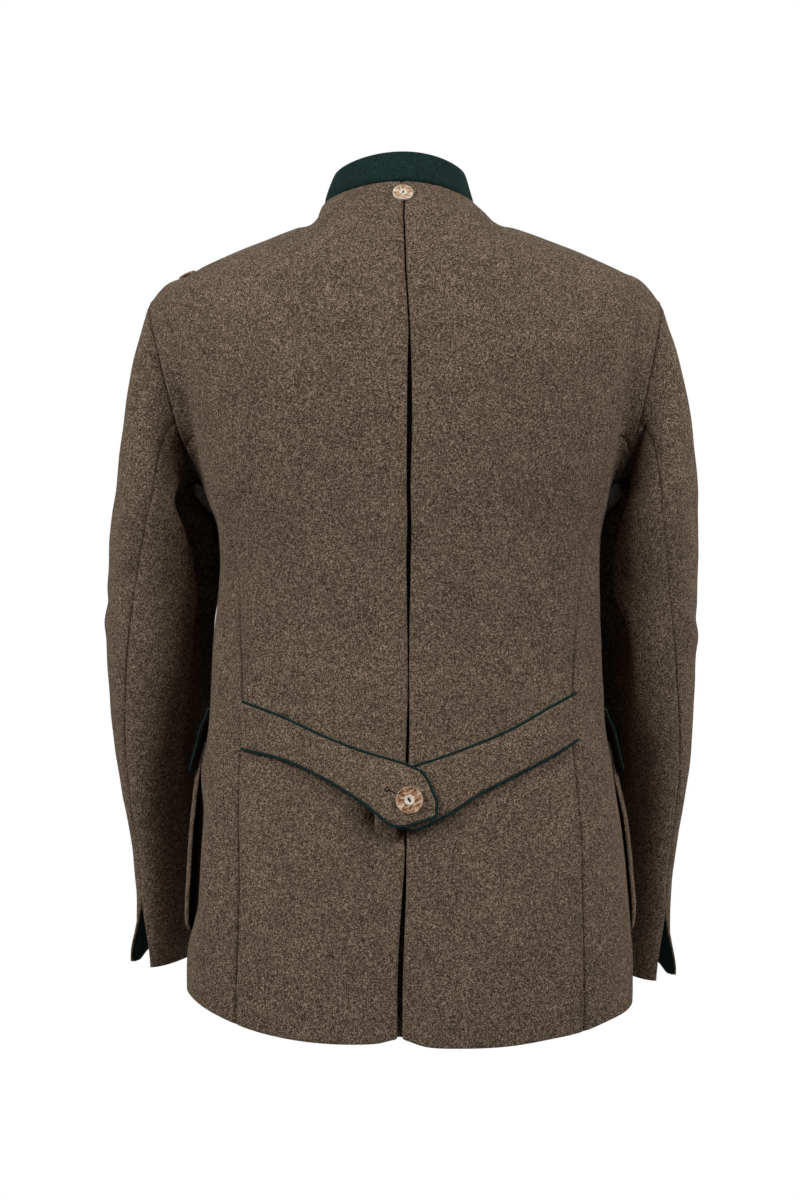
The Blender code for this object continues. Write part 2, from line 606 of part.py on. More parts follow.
def finished(bm, name, material, collection):
    """An object from a closed bmesh, its faces turned outwards and its round faces smooth."""
    bmesh.ops.recalc_face_normals(bm, faces=bm.faces)
    mesh = bpy.data.meshes.new(name)
    bm.to_mesh(mesh)
    bm.free()
    mesh.shade_smooth()
    mesh.set_sharp_from_angle(angle=math.radians(40))
    mesh.materials.append(material)
    made = bpy.data.objects.new(name, mesh)
    collection.objects.link(made)
    return made


# The direction by which the two ends of a rim's edge are put in order, all over the jacket.
RIM_ORDER = np.array([0.13, 0.21, 1.0])


def wall(name, outer, inner, material, collection):
    """A cloth wall between two grids of points, closed by a rim round their borders.

    Each quad of a rim is split the same way as that of the rim that faces it across a seam.
    """
    rows, columns = outer.shape[0] - 1, outer.shape[1] - 1
    bm = bmesh.new()
    sheets = []
    for points in (outer, inner):
        laid = bmesh.ops.create_grid(bm, x_segments=columns, y_segments=rows, size=0.5)["verts"]
        for vertex, point in zip(laid, points.reshape(-1, 3)):
            vertex.co = point
        sheets.append(laid)
    border = border_of(rows, columns)
    for pair in zip(border, border[1:] + border[:1]):
        low, high = sorted(pair, key=lambda k: RIM_ORDER @ outer.reshape(-1, 3)[k])
        bm.faces.new((sheets[0][low], sheets[1][low], sheets[1][high]))
        bm.faces.new((sheets[0][low], sheets[1][high], sheets[0][high]))
    return finished(bm, name, material, collection)


def cloth(name, outer, out, thickness, material, collection):
    return wall(name, outer, outer - out * thickness, material, collection)


def piping(name, path, spread, facing, material, collection):
    """A round cord along a path, its rings mitred at the corners and capped at the ends."""
    angles = np.linspace(0, 2 * np.pi, PIPING_SIDES, endpoint=False)[None, :, None]
    circle = np.cos(angles) * spread[:, None] + np.sin(angles) * facing[:, None]
    bm = bmesh.new()
    laid = [[bm.verts.new(point) for point in ring] for ring in path[:, None] + PIPING_RADIUS * circle]
    for lower, upper in zip(laid, laid[1:]):
        for k in range(PIPING_SIDES):
            after = (k + 1) % PIPING_SIDES
            bm.faces.new((lower[k], lower[after], upper[after], upper[k]))
    bm.faces.new(laid[0])
    bm.faces.new(laid[-1])
    return finished(bm, name, material, collection)


def button(name, size, spot, material, collection):
    """A turned antler disc with a low ring in its dished face, its back just off the cloth."""
    place, out = (Vector(way[0]) for way in spot)
    r, t = size.radius, size.thick
    profile = [(0, 0.72 * t), (0.14 * r, 0.72 * t), (0.18 * r, 1.0 * t), (0.32 * r, 1.0 * t),
               (0.40 * r, 0.80 * t), (0.80 * r, 0.92 * t), (0.95 * r, 0.80 * t), (r, 0.45 * t),
               (0.92 * r, 0.08 * t), (0.80 * r, 0), (0, 0)]
    mesh = bpy.data.meshes.new(name)
    mesh.from_pydata([(x, 0, z) for x, z in profile], [(i, i + 1) for i in range(len(profile) - 1)], [])
    mesh.materials.append(material)
    made = bpy.data.objects.new(name, mesh)
    turned = made.modifiers.new("Turned", "SCREW")
    turned.steps = turned.render_steps = BUTTON_STEPS
    turned.use_merge_vertices = True
    turned.merge_threshold = 0.05 * MM
    turned.use_smooth_shade = True
    made.rotation_mode = "QUATERNION"
    made.rotation_quaternion = Vector((0, 0, 1)).rotation_difference(out)
    made.location = place + out * SEAM
    collection.objects.link(made)
    return made


# ---------------------------------------------------------------- torso pieces
def top_stations(first, last):
    """The girths of the top-edge stations from one armhole station to another."""
    share = np.arange(first, last + 1) / ARMHOLE_STATIONS
    return mix(SHOULDER_G, FRONT_SHOULDER_G, share)


def torso_rises():
    body = np.linspace(0, 1, BODY_ROWS + 1)
    return np.concatenate([body, np.linspace(1, 2, CHEST_ROWS + 1)[1:]])


def torso_panel(g, rise, side, lift=0.0):
    """The outer face of a torso piece and its outward directions, drawn in to half a seam."""
    outer, out = torso(g, rise, side), torso_out(g, rise, side)
    flip = np.array([side, 1, 1])
    out[-1] = top_out(g[-1]) * flip
    along = unit(torso(g + 1e-4, rise, side) - torso(g - 1e-4, rise, side))
    outer[:, 0] += along[:, 0] * SEAM / 2
    outer[:, -1] -= along[:, -1] * SEAM / 2
    outer[-1] += top_margin(g[-1]) * flip
    return outer + out * np.asarray(lift)[..., None], out


def back_grid():
    """The girths and rises of half the back, from its pleat to the side-back seam."""
    neck_part = np.array(NECK_QUARTER) * NECK_G
    shoulder_part = np.linspace(NECK_G, SHOULDER_G, SHOULDER_STATIONS + 1)[1:]
    top = np.concatenate([neck_part, shoulder_part, top_stations(0, BACK_SEAM_STATION)[1:]])
    rise = torso_rises()[:, None]
    g = top / top[-1] * read(BACK_SEAM, "place", rise)
    return g, rise + 0 * g


def back_panel(side):
    """Half of the back: it turns in at the centre and returns under itself as half of the pleat."""
    g, rise = back_grid()
    z = torso(0 * rise[:, 0], rise[:, 0], side)[:, 2]
    gap, width = read(PLEAT, "half_gap", z), read(PLEAT, "return_width", z)
    g[:, 0] = girth(gap + FOLD_RADIUS, rise[:, 0])
    outer, out = torso_panel(g, rise, side)
    edge = torso(g[:, 0], rise[:, 0], side)
    edge[-1] = outer[-1, 0]
    outer[:, 0] = edge
    along = unit(outer[:, 1] - outer[:, 0])
    lip, lip_out = [], []
    for share in (1.0, 0.5, 0.0):
        offset = girth(gap + FOLD_RADIUS + width * share, rise[:, 0])
        normal = torso_out(offset, rise[:, 0], side)
        normal[-1] = out[-1, 0]
        place = torso(offset, rise[:, 0], side)
        place[-1] = outer[-1, 0] + along[-1] * width[-1] * share
        lip.append(place - normal * 2 * FOLD_RADIUS)
        lip_out.append(-normal)
    centre = outer[:, 0] - out[:, 0] * FOLD_RADIUS
    lip.append(centre - along * FOLD_RADIUS)
    lip_out.append(-along)
    outer = np.concatenate([np.stack(lip, axis=1), outer], axis=1)
    return outer, np.concatenate([np.stack(lip_out, axis=1), out], axis=1)


def pleat_underlay():
    """The strip that closes the pleat behind its two folds, hanging a little away from them."""
    rise = torso_rises()[:, None]
    z = torso(0 * rise, rise, LEFT)[..., 2]
    reach = read(PLEAT, "half_gap", z) + FOLD_RADIUS + read(PLEAT, "return_width", z)
    across = np.linspace(-1, 1, UNDERLAY_COLUMNS + 1)[None, :]
    side = np.where(across >= 0, LEFT, RIGHT) + 0 * rise.astype(int)
    g = girth(reach * np.abs(across), rise + 0 * across)
    out = torso_out(g, rise + 0 * g, side)
    out[-1] = unit(out[-1] + np.array([0, 0, 0.15]))
    place = torso(g, rise + 0 * g, side)
    place[-1] -= np.array([0, 0, SEAM])
    clear = mix(SEAM, UNDERLAY_TOP_CLEAR, smooth((rise - 1.5) / 0.4))
    depth = 2 * FOLD_RADIUS + clear + read(PLEAT, "bulge", z) * (1 - across**2) ** 2
    return place - out * depth[..., None], out


def side_panel(side):
    """The piece under the arm, between the side-back seam and the front seam."""
    top = top_stations(BACK_SEAM_STATION, FRONT_SEAM_STATION)
    share = (top - top[0]) / (top[-1] - top[0])
    rise = torso_rises()[:, None]
    g = mix(read(BACK_SEAM, "place", rise), read(FRONT_SEAM, "place", rise), share)
    return torso_panel(g, rise + 0 * g, side)


def front_grid():
    neck = 1 - (1 - np.array([0, 0.25, 0.5, 0.75, COLLAR_FRONT_SHARE, 1])) * (1 - FRONT_NECK_G)
    shoulder_part = np.linspace(FRONT_SHOULDER_G, FRONT_NECK_G, SHOULDER_STATIONS + 1)[1:-1]
    top = np.concatenate([top_stations(FRONT_SEAM_STATION, ARMHOLE_STATIONS), shoulder_part, neck])
    share = (top - top[0]) / (1 - top[0])
    rise = torso_rises()[:, None]
    seam = read(FRONT_SEAM, "place", rise)
    overlap = 1 + girth(FRONT_OVERLAP, rise, at=FRONT_EDGE_G)
    g = np.concatenate([mix(seam, 1, share), overlap], axis=1)
    return g, rise + 0 * g


def front_lift(g, rise):
    """How far the left front stands off the right front, which it overlaps."""
    over = girth(FRONT_OVERLAP, rise, at=FRONT_EDGE_G)
    return FRONT_LAP * smooth((g - 1 + FRONT_LIFT_START * over) / over)


def front_panel(side):
    g, rise = front_grid()
    lift = front_lift(g, rise) if side == LEFT else 0 * g
    return torso_panel(g, rise, side, lift)


def collar():
    """The standing collar: an upright band round the neck seam, leaning in, open at the front."""
    quarter = np.array(NECK_QUARTER)
    front = 1 + np.array([0.25, 0.5, 0.75, COLLAR_FRONT_SHARE])
    half = np.concatenate([quarter, front]) * np.pi / 2
    turn = np.concatenate([-half[:0:-1], half])[None, :]
    up = np.array([0, 0.5, 1])[:, None]
    base = neckline(turn) + past_seam(neckline, turn, neck_out(turn), vectors(0, 0, 1)) * SEAM / 2
    inward = -vectors(np.sin(turn), np.cos(turn), 0)
    rise = vectors(0, 0, COLLAR_HEIGHT) + inward * COLLAR_LEAN
    outer = base + rise * up[..., None]
    standing = unit(vectors(np.sin(turn), np.cos(turn), 0.28))
    out = np.where((up > 0)[..., None], standing, neck_out(turn))
    sway = read(PLEAT, "sway", outer[..., 2]) * bell(NECK_G * np.abs(turn) / (np.pi / 2), SWAY_G)
    outer[..., 0] += read(DRIFT, "torso", outer[..., 2]) + sway
    g = 1 + (np.abs(turn) / np.pi - 1) * 2 * (1 - FRONT_NECK_G)
    lift = np.where(turn > np.pi / 2, front_lift(g, np.full(g.shape, 2.0)), 0)
    return outer + neck_out(turn) * lift[..., None], out


# ---------------------------------------------------------------- sleeve pieces
def sleeve_falls():
    head = np.linspace(0, 1, SLEEVE_HEAD_ROWS + 1)
    return np.concatenate([head, np.linspace(1, 2, SLEEVE_ROWS + 1)[1:]])[:, None]


def vent_share(fall):
    return smooth((fall - VENT_FALL) / (2 - VENT_FALL))


def sleeve_panel(u, fall, side):
    """The outer face of a sleeve piece and its outward directions, drawn in to half a seam."""
    outer, out = sleeve(u, fall, side), sleeve_out(u, fall, side)
    flip = np.array([side, 1, 1])
    turn = 2 * np.pi * u[0]
    out[0] = armhole_out(turn) * flip
    outer[0] += past_seam(armhole, turn, armhole_out(turn), sleeve_leave(turn)) * flip * SEAM / 2
    along = unit(sleeve(u + 1e-4, fall, side) - sleeve(u - 1e-4, fall, side))
    first = np.sign(u[0, 1] - u[0, 0])
    outer[:, 0] += along[:, 0] * first * SEAM / 2
    outer[:, -1] -= along[:, -1] * first * SEAM / 2
    return outer, out


def upper_sleeve_grid():
    """The turns and falls of the upper sleeve, from the hind seam over the outside to the fore."""
    fall = sleeve_falls()
    hind = read(HIND_SEAM, "place", fall)
    back = np.arange(HIND_SEAM_STATION, -1, -1) / HIND_SEAM_STATION
    front = np.arange(-1, FORE_SEAM_STATION - ARMHOLE_STATIONS - 1, -1) / ARMHOLE_STATIONS
    u = np.concatenate([hind * back, front[None, :] + 0 * hind], axis=1)
    return u, fall + 0 * u


def vent_flare(u, fall, side):
    """How the upper sleeve turns outwards at the edge of its vent."""
    near = bell(u - read(HIND_SEAM, "place", fall), VENT_FLARE_WIDTH)
    return np.array(VENT_FLARE) * np.array([side, 1, 1]) * (near * vent_share(fall) ** 1.5)[..., None]


def upper_sleeve(side):
    u, fall = upper_sleeve_grid()
    outer, out = sleeve_panel(u, fall, side)
    return outer + vent_flare(u, fall, side), out


def under_sleeve(side):
    fall = sleeve_falls()
    hind = read(HIND_SEAM, "place", fall) + VENT_OPEN_U * vent_share(fall)
    stations = FORE_SEAM_STATION - HIND_SEAM_STATION
    share = np.linspace(0, 1, stations + 1)
    u = mix(hind, FORE_SEAM_STATION / ARMHOLE_STATIONS, share)
    return sleeve_panel(u, fall + 0 * u, side)


def cuff_facing(side):
    """The felt that lines the upper sleeve inside the vent, in step with the sleeve's own grid."""
    u, fall = upper_sleeve_grid()
    u, fall = u[-FACING_ROWS:, :FACING_COLUMNS], fall[-FACING_ROWS:, :FACING_COLUMNS]
    out = sleeve_out(u, fall, side)
    outer = sleeve(u, fall, side) + vent_flare(u, fall, side)
    return outer - out * (CLOTH + SEAM), out


# ---------------------------------------------------------------- belt and pockets
def belt_place(x, z, lift):
    """A point of the belt's outer face and its outward direction."""
    g, rise, side = spot_on_back(x, z)
    out = torso_out(g, rise, side)
    return torso(g, rise, side) + out * (lift + BELT_CLOTH)[..., None], out


def belt(side):
    columns = BELT_COLUMNS[side]
    at = np.linspace(0, len(columns) - 1, 2 * len(columns) - 1)
    x, top, bottom, lift = (np.interp(at, range(len(columns)), values) for values in zip(*columns))
    share = np.linspace(0, 1, BELT_ROWS + 1)[:, None]
    z = mix(bottom, top, share)
    return belt_place(x + 0 * z, z, lift + 0 * z)


def border_points(outer, out, thickness, open_edge, gap):
    """A path round a wall's border, but for one edge, clear of it by a gap, with its frame."""
    middle = outer - out * thickness / 2
    order = {
        "right": lambda p: [p[0, ::-1], p[1:, 0], p[-1, 1:]],
        "left": lambda p: [p[0, :], p[1:, -1], p[-1, -2::-1]],
        "top": lambda p: [p[::-1, 0], p[0, 1:], p[1:, -1]],
    }[open_edge]
    path, facing = np.concatenate(order(middle)), np.concatenate(order(out))
    along = unit(path[1:] - path[:-1])
    side = unit(np.cross(along, facing[1:] + facing[:-1]))
    centre = middle[middle.shape[0] // 2, middle.shape[1] // 2]
    side *= np.sign(np.sum(side * (path[1:] - centre), axis=-1).sum())
    before, after = np.concatenate([side[:1], side]), np.concatenate([side, side[-1:]])
    spread = (before + after) / (1 + np.sum(before * after, axis=-1, keepdims=True))
    return path + gap * spread, spread, facing


def rounded(distance, radius):
    """How far a side edge draws in at a distance from the bottom edge, for a round corner."""
    short = np.clip(radius - distance, 0, radius)
    return radius - np.sqrt(radius**2 - short**2)


def pocket_grid(girths, heights, corner, side, rows, columns):
    """Girths, rises and distances to the side edges of a piece on the front, with round corners."""
    up = np.concatenate([[0, 0.06], np.linspace(0.17, 1, rows - 1)])
    share = np.concatenate([[0, 0.05], np.linspace(0.14, 0.86, columns - 3), [0.95, 1]])
    z = mix(heights[0], heights[1], up)[:, None]
    middle, half = (girths[0] + girths[1]) / 2, (girths[1] - girths[0]) / 2
    rise = rise_at(z, middle, side)
    shrink = girth(rounded(z - heights[0], corner), rise, at=middle)
    g = middle + (half - shrink) * (2 * share - 1)
    wide = (half - shrink) / girth(1.0, rise, at=middle)
    edge = wide * (1 - np.abs(2 * share - 1))
    return g, rise_at(z + 0 * g, g, side), edge, z - heights[0] + 0 * g


def pocket(side):
    """A bellows patch pocket: it stands off the front, and its sides and bottom run down to it."""
    g, rise, edge, bottom = pocket_grid(POCKET_G, POCKET_Z, POCKET_CORNER, side, *POCKET_STEPS)
    near = np.minimum(edge, bottom)
    stand = mix(CLOTH + POCKET_CLEAR, POCKET_STAND, smooth(near / POCKET_BELLOWS))
    out = torso_out(g, rise, side)
    return torso(g, rise, side) + out * stand[..., None], out


def pocket_flap(side):
    g, rise, edge, bottom = pocket_grid(FLAP_G, FLAP_Z, FLAP_CORNER, side, *FLAP_STEPS)
    down = 1 - bottom / (FLAP_Z[1] - FLAP_Z[0])
    stand = mix(CLOTH + LAID_CLEAR, FLAP_STAND, smooth(down / FLAP_RISE)) + FLAP_FLARE * down**2
    out = torso_out(g, rise, side)
    return torso(g, rise, side) + out * stand[..., None], out


# ---------------------------------------------------------------- button places
def belt_button_place():
    columns = BELT_COLUMNS[LEFT]
    lift = np.interp(BELT_BUTTON_X, [c.x for c in columns], [c.lift for c in columns])
    return belt_place(np.array([BELT_BUTTON_X]), np.array([BELT_BUTTON_Z]), np.array([lift]))


def neck_button_place():
    """The spot on the pleat's fold edges, which bend a little away from its centre line."""
    rise = np.array([NECK_BUTTON_RISE])
    zero = np.zeros(1)
    out = torso_out(zero, rise, np.array([LEFT]))
    return torso(zero, rise, LEFT) - out * NECK_BUTTON_SINK, out


def shoulder_button_place():
    share = np.array([(SHOULDER_BUTTON_X - SHOULDER[0].x) / (SHOULDER[-1].x - SHOULDER[0].x)])
    along = tangent(shoulder, share)
    out = unit(vectors(-along[..., 2], 0, along[..., 0]))
    place = shoulder(share) + out * SHOULDER_BUTTON_CLEAR
    place[..., 0] += read(DRIFT, "torso", place[..., 2])
    return place, out


def front_button_place(number):
    rises = np.linspace(*FRONT_BUTTON_RISES, 400)
    heights = torso(np.ones(rises.shape), rises, LEFT)[:, 2]
    rise = np.interp([FRONT_BUTTON_Z - number * FRONT_BUTTON_PITCH], heights, rises)
    out = torso_out(np.ones(1), rise, np.array([LEFT]))
    return torso(np.ones(1), rise, LEFT) + out * (FRONT_LAP + FRONT_BUTTON_CLEAR), out


# ---------------------------------------------------------------- the jacket
def build():
    clear_scene()
    parts = new_collection("Tyrolean jacket")
    loden = plain_material("Loden", (0.118, 0.088, 0.066), 0.95)
    green = plain_material("Green wool", (0.012, 0.033, 0.030), 0.9)
    antler = plain_material("Antler", (0.42, 0.24, 0.11), 0.45)
    for side, word in SIDE_NAMES.items():
        cloth(f"back_{word}", *back_panel(side), CLOTH, loden, parts)
        cloth(f"side_{word}", *side_panel(side), CLOTH, loden, parts)
        cloth(f"front_{word}", *front_panel(side), CLOTH, loden, parts)
        cloth(f"upper_sleeve_{word}", *upper_sleeve(side), CLOTH, loden, parts)
        cloth(f"under_sleeve_{word}", *under_sleeve(side), CLOTH, loden, parts)
        cloth(f"cuff_facing_{word}", *cuff_facing(side), FELT, green, parts)
        cloth(f"pocket_{word}", *pocket(side), CLOTH, loden, parts)
        flap = pocket_flap(side)
        cloth(f"pocket_flap_{word}", *flap, CLOTH, loden, parts)
        piping(f"flap_piping_{word}", *border_points(*flap, CLOTH, "top", PIPING_CLEAR), green, parts)
        strap = belt(side)
        cloth(f"belt_{word}", *strap, BELT_CLOTH, loden, parts)
        edge = border_points(*strap, BELT_CLOTH, "right" if side == LEFT else "left", PIPING_CLEAR)
        piping(f"belt_piping_{word}", *edge, green, parts)
    cloth("pleat_underlay", *pleat_underlay(), CLOTH, loden, parts)
    cloth("collar", *collar(), COLLAR_CLOTH, green, parts)
    button("button_belt", BELT_BUTTON, belt_button_place(), antler, parts)
    button("button_neck", NECK_BUTTON, neck_button_place(), antler, parts)
    button("button_shoulder", SHOULDER_BUTTON, shoulder_button_place(), antler, parts)
    for number in range(FRONT_BUTTON_COUNT):
        name = f"button_front_{number + 1}"
        button(name, FRONT_BUTTON, front_button_place(number), antler, parts)


build()
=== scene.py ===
"""Tyrolean loden jacket: the visual model and its stage, laid out as an add-on and run as a script.

The cloth is cut from the same two surfaces as the solid model, torso(g, rise, side) and
sleeve(u, fall, side), sampled finely, with soft creases, rolled edges and drawn-in seams.
Metres, +Z up, front towards -Y, +X towards the wearer's left.
"""

import math
from collections import namedtuple

import bmesh
import bpy
import numpy as np
from mathutils import Matrix, Vector


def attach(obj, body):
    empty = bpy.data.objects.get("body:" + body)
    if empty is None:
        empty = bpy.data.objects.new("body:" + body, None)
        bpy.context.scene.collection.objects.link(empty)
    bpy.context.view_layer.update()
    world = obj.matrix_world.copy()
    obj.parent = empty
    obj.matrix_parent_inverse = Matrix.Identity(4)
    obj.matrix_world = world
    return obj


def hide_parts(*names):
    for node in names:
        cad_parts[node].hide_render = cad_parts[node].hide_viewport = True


bl_info = {
    "name": "Tyrolean jacket",
    "version": (1, 0, 0),
    "blender": (4, 5, 0),
    "location": "View3D > Sidebar > Jacket",
    "description": "Models a loden jacket over its solid frame, with cloth, piping, buttons and a stage",
    "category": "Object",
}

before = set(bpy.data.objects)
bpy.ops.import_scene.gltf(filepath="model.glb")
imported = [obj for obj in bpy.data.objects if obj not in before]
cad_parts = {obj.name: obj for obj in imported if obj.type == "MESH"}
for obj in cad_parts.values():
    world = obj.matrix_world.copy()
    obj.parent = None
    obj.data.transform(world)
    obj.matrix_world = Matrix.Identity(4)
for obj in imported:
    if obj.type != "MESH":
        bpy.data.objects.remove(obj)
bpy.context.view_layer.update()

MM = 0.001
LEFT, RIGHT = 1, -1
SIDE_NAMES = {LEFT: "left", RIGHT: "right"}

# ---------------------------------------------------------------- driving sizes
CLOTH = 2.4 * MM
SEAM = 0.3 * MM
FELT = 1.4 * MM
COLLAR_CLOTH = 3.0 * MM

CHEST_Z = -0.285
HEM_NOTCH_Z, HEM_NOTCH_G = -0.762, 0.024

NECK_HALF_WIDTH = 71.5 * MM
NECK_MIDDLE_Y = -4 * MM
NECK_BACK, NECK_FRONT = 66 * MM, 74 * MM
NECK_BACK_RISE, NECK_FRONT_DROP = 10 * MM, 74 * MM

ARMHOLE_MIDDLE = (0.2225, 0.0, -0.180)
ARMHOLE_LEAN, ARMHOLE_RISE = 20.5 * MM, 86 * MM
ARMHOLE_BACK, ARMHOLE_FRONT = 53 * MM, 58 * MM
ARMHOLE_SCOOP = 10 * MM

# Where the top edge changes over, in g: neckline, shoulder seam, armhole, shoulder, neckline.
NECK_G, SHOULDER_G, FRONT_SHOULDER_G, FRONT_NECK_G = 0.115, 0.33, 0.67, 0.88
ARMHOLE_STATIONS = 16
BACK_SEAM_STATION, FRONT_SEAM_STATION = 6, 10
HIND_SEAM_STATION, FORE_SEAM_STATION = 5, 11
SLEEVE_ROWS = 12

FRONT_OVERLAP, FRONT_LAP = 20 * MM, CLOTH + 1.4 * MM
FRONT_EDGE_G, FRONT_LIFT_START = 0.985, 2.3
COLLAR_HEIGHT, COLLAR_LEAN = 28 * MM, 9 * MM
COLLAR_FRONT_SHARE = 0.95
COLLAR_SWELL, COLLAR_TOP_TILT, COLLAR_TURN = 0.6 * MM, 0.28, 0.5

# ---------------------------------------------------------------- tables
def number(text):
    """A cell of a table: a side's name or a number."""
    return LEFT if text == "left" else RIGHT if text == "right" else float(text)


def table(columns, text):
    """The rows of a text under named columns; a column named in _mm is kept in metres."""
    names = columns.split()
    row = namedtuple("Row", [name.removesuffix("_mm") for name in names])
    scales = [MM if name.endswith("_mm") else 1 for name in names]
    cells = [map(number, line.split()) for line in text.strip().splitlines()]
    return [row(*(value * scale for value, scale in zip(line, scales))) for line in cells]


def both_sides(columns, left, right):
    return {LEFT: table(columns, left), RIGHT: table(columns, right)}


TORSO = table("z half_width back_y front_y side_y back_square front_square", """
    -0.780 0.2072 0.137 -0.150 0.030 2.50 2.05
    -0.700 0.2074 0.135 -0.149 0.030 2.50 2.05
    -0.640 0.2056 0.131 -0.147 0.029 2.50 2.05
    -0.600 0.2025 0.127 -0.145 0.027 2.50 2.05
    -0.560 0.1975 0.121 -0.142 0.024 2.48 2.05
    -0.530 0.1922 0.116 -0.139 0.021 2.46 2.05
    -0.500 0.1868 0.111 -0.136 0.018 2.45 2.06
    -0.460 0.1845 0.107 -0.133 0.015 2.45 2.08
    -0.400 0.1818 0.106 -0.131 0.012 2.42 2.12
    -0.350 0.1790 0.110 -0.131 0.010 2.40 2.20
    -0.310 0.1815 0.114 -0.133 0.008 2.47 2.30
    -0.285 0.1880 0.117 -0.135 0.006 2.55 2.40
""")

HEM = table("g left right", """
    0.00 -0.7660 -0.7700
    0.14 -0.7655 -0.7690
    0.20 -0.7605 -0.7645
    0.25 -0.7540 -0.7605
    0.30 -0.7465 -0.7545
    0.35 -0.7405 -0.7515
    0.45 -0.7360 -0.7475
    0.60 -0.7420 -0.7490
    1.05 -0.7580 -0.7580
""")

SHOULDER = table("x y z", """
    0.0715 -0.004   0.000
    0.0750 -0.003 -0.0080
    0.0825 -0.003 -0.0164
    0.1010 -0.002 -0.0228
    0.1395  0.000 -0.0386
    0.1757  0.000 -0.0548
    0.2080  0.001 -0.0695
    0.2333  0.001 -0.0818
    0.2430  0.000 -0.0940
""")

# How the cloth reaches the top edge above g: a direction and, by its length, a strength.
ARRIVAL = table("g x y z", """
    0.000  0.0000 -0.1847  0.2188
    0.040  0.0008 -0.2257  0.1822
    0.080 -0.0119 -0.3330  0.1240
    0.105 -0.0475 -0.4211  0.1185
    0.125 -0.0594 -0.4433  0.0621
    0.160 -0.0206 -0.4105  0.0257
    0.200  0.0085 -0.3821 -0.0051
    0.240  0.0336 -0.3607 -0.0373
    0.280  0.0674 -0.3367 -0.0589
    0.310  0.1152 -0.3320 -0.0682
    0.322  0.1440 -0.3376 -0.0811
    0.330  0.1671 -0.3439 -0.0940
    0.338  0.1578 -0.3038 -0.0641
    0.350  0.1453 -0.2456 -0.0302
    0.370  0.1277 -0.1574  0.0026
    0.390  0.1108 -0.0843  0.0156
    0.410  0.0909 -0.0299  0.0172
    0.430  0.0674  0.0042  0.0123
    0.460  0.0332  0.0205 -0.0015
    0.500  0.0189  0.0049 -0.0129
    0.540  0.0352 -0.0324  0.0013
    0.570  0.0550 -0.0192  0.0121
    0.590  0.0760  0.0164  0.0149
    0.610  0.1022  0.0737  0.0117
    0.630  0.1304  0.1507 -0.0017
    0.650  0.1568  0.2437 -0.0339
    0.662  0.1703  0.3052 -0.0672
    0.670  0.1780  0.3477 -0.0966
    0.678  0.1518  0.3475 -0.0823
    0.690  0.1190  0.3459 -0.0683
    0.720  0.0654  0.3417 -0.0579
    0.760  0.0297  0.3453 -0.0371
    0.800  0.0052  0.3475 -0.0095
    0.840 -0.0243  0.3430  0.0198
    0.865 -0.0525  0.3547  0.0556
    0.880 -0.0733  0.3677  0.1557
    0.895 -0.0382  0.3146  0.1619
    0.920 -0.0089  0.2432  0.1528
    0.960  0.0007  0.1804  0.1252
    1.000  0.0000  0.1661  0.1107
""")

SLEEVE = table("fall z x y across along turn lean", """
    1.00 -0.300 0.2308 -0.012 0.0440 0.076 10 0.00
    1.12 -0.350 0.2290 -0.026 0.0504 0.072 16 0.04
    1.24 -0.400 0.2333 -0.034 0.0474 0.070 18 0.08
    1.36 -0.450 0.2340 -0.043 0.0447 0.068 20 0.13
    1.48 -0.500 0.2349 -0.055 0.0401 0.067 22 0.18
    1.60 -0.550 0.2320 -0.067 0.0347 0.066 24 0.22
    1.72 -0.600 0.2265 -0.079 0.0293 0.066 25 0.24
    1.84 -0.650 0.2240 -0.090 0.0276 0.066 25 0.24
    2.00 -0.720 0.2235 -0.103 0.0272 0.066 25 0.22
""")
SLEEVE_EXTRA = {LEFT: 0.0, RIGHT: 13 * MM}
# The inner side of a sleeve, by the torso: at what height, over what height and by how much it is
# held off behind, and the same for its reach inwards in front.
Swell = namedtuple("Swell", "z height by")
HELD_OFF = {LEFT: Swell(-0.300, 0.060, 5 * MM), RIGHT: Swell(-0.345, 0.080, 9 * MM)}
REACHES_IN = {LEFT: Swell(-0.284, 0.055, 17 * MM), RIGHT: Swell(-0.276, 0.040, 12 * MM)}

DRIFT = table("z torso_mm sleeve_mm", """
    -0.780 -3.0  2.5
    -0.590 -3.0  2.4
    -0.545 -1.0  2.6
    -0.470 -1.0  4.0
    -0.410 -1.2  4.3
    -0.357 -3.2  3.4
    -0.310 -3.0  1.5
    -0.292 -2.0  0.6
    -0.276 -1.2 -1.0
    -0.262 -1.2 -1.2
    -0.200 -1.3 -1.3
    -0.150 -0.2 -0.2
    -0.090  0.8  0.8
    -0.024  1.2  1.2
    -0.010  5.0  5.0
     0.040  5.5  5.5
""")

BACK_SEAM = table("at place", """
     0.0 0.2475
    0.30 0.2503
    0.50 0.2690
    0.66 0.2815
     1.0 0.3550
     1.5 0.4200
     2.0 0.4575
""")
FRONT_SEAM = table("at place", """
    0.0  0.560
    1.0  0.555
    2.0 0.5425
""")
HIND_SEAM = table("at place", """
     0.0 0.3125
     0.4  0.304
     0.8  0.289
     1.0  0.276
    1.12  0.256
    1.24  0.250
    1.36  0.238
     1.7  0.232
     2.0  0.240
""")

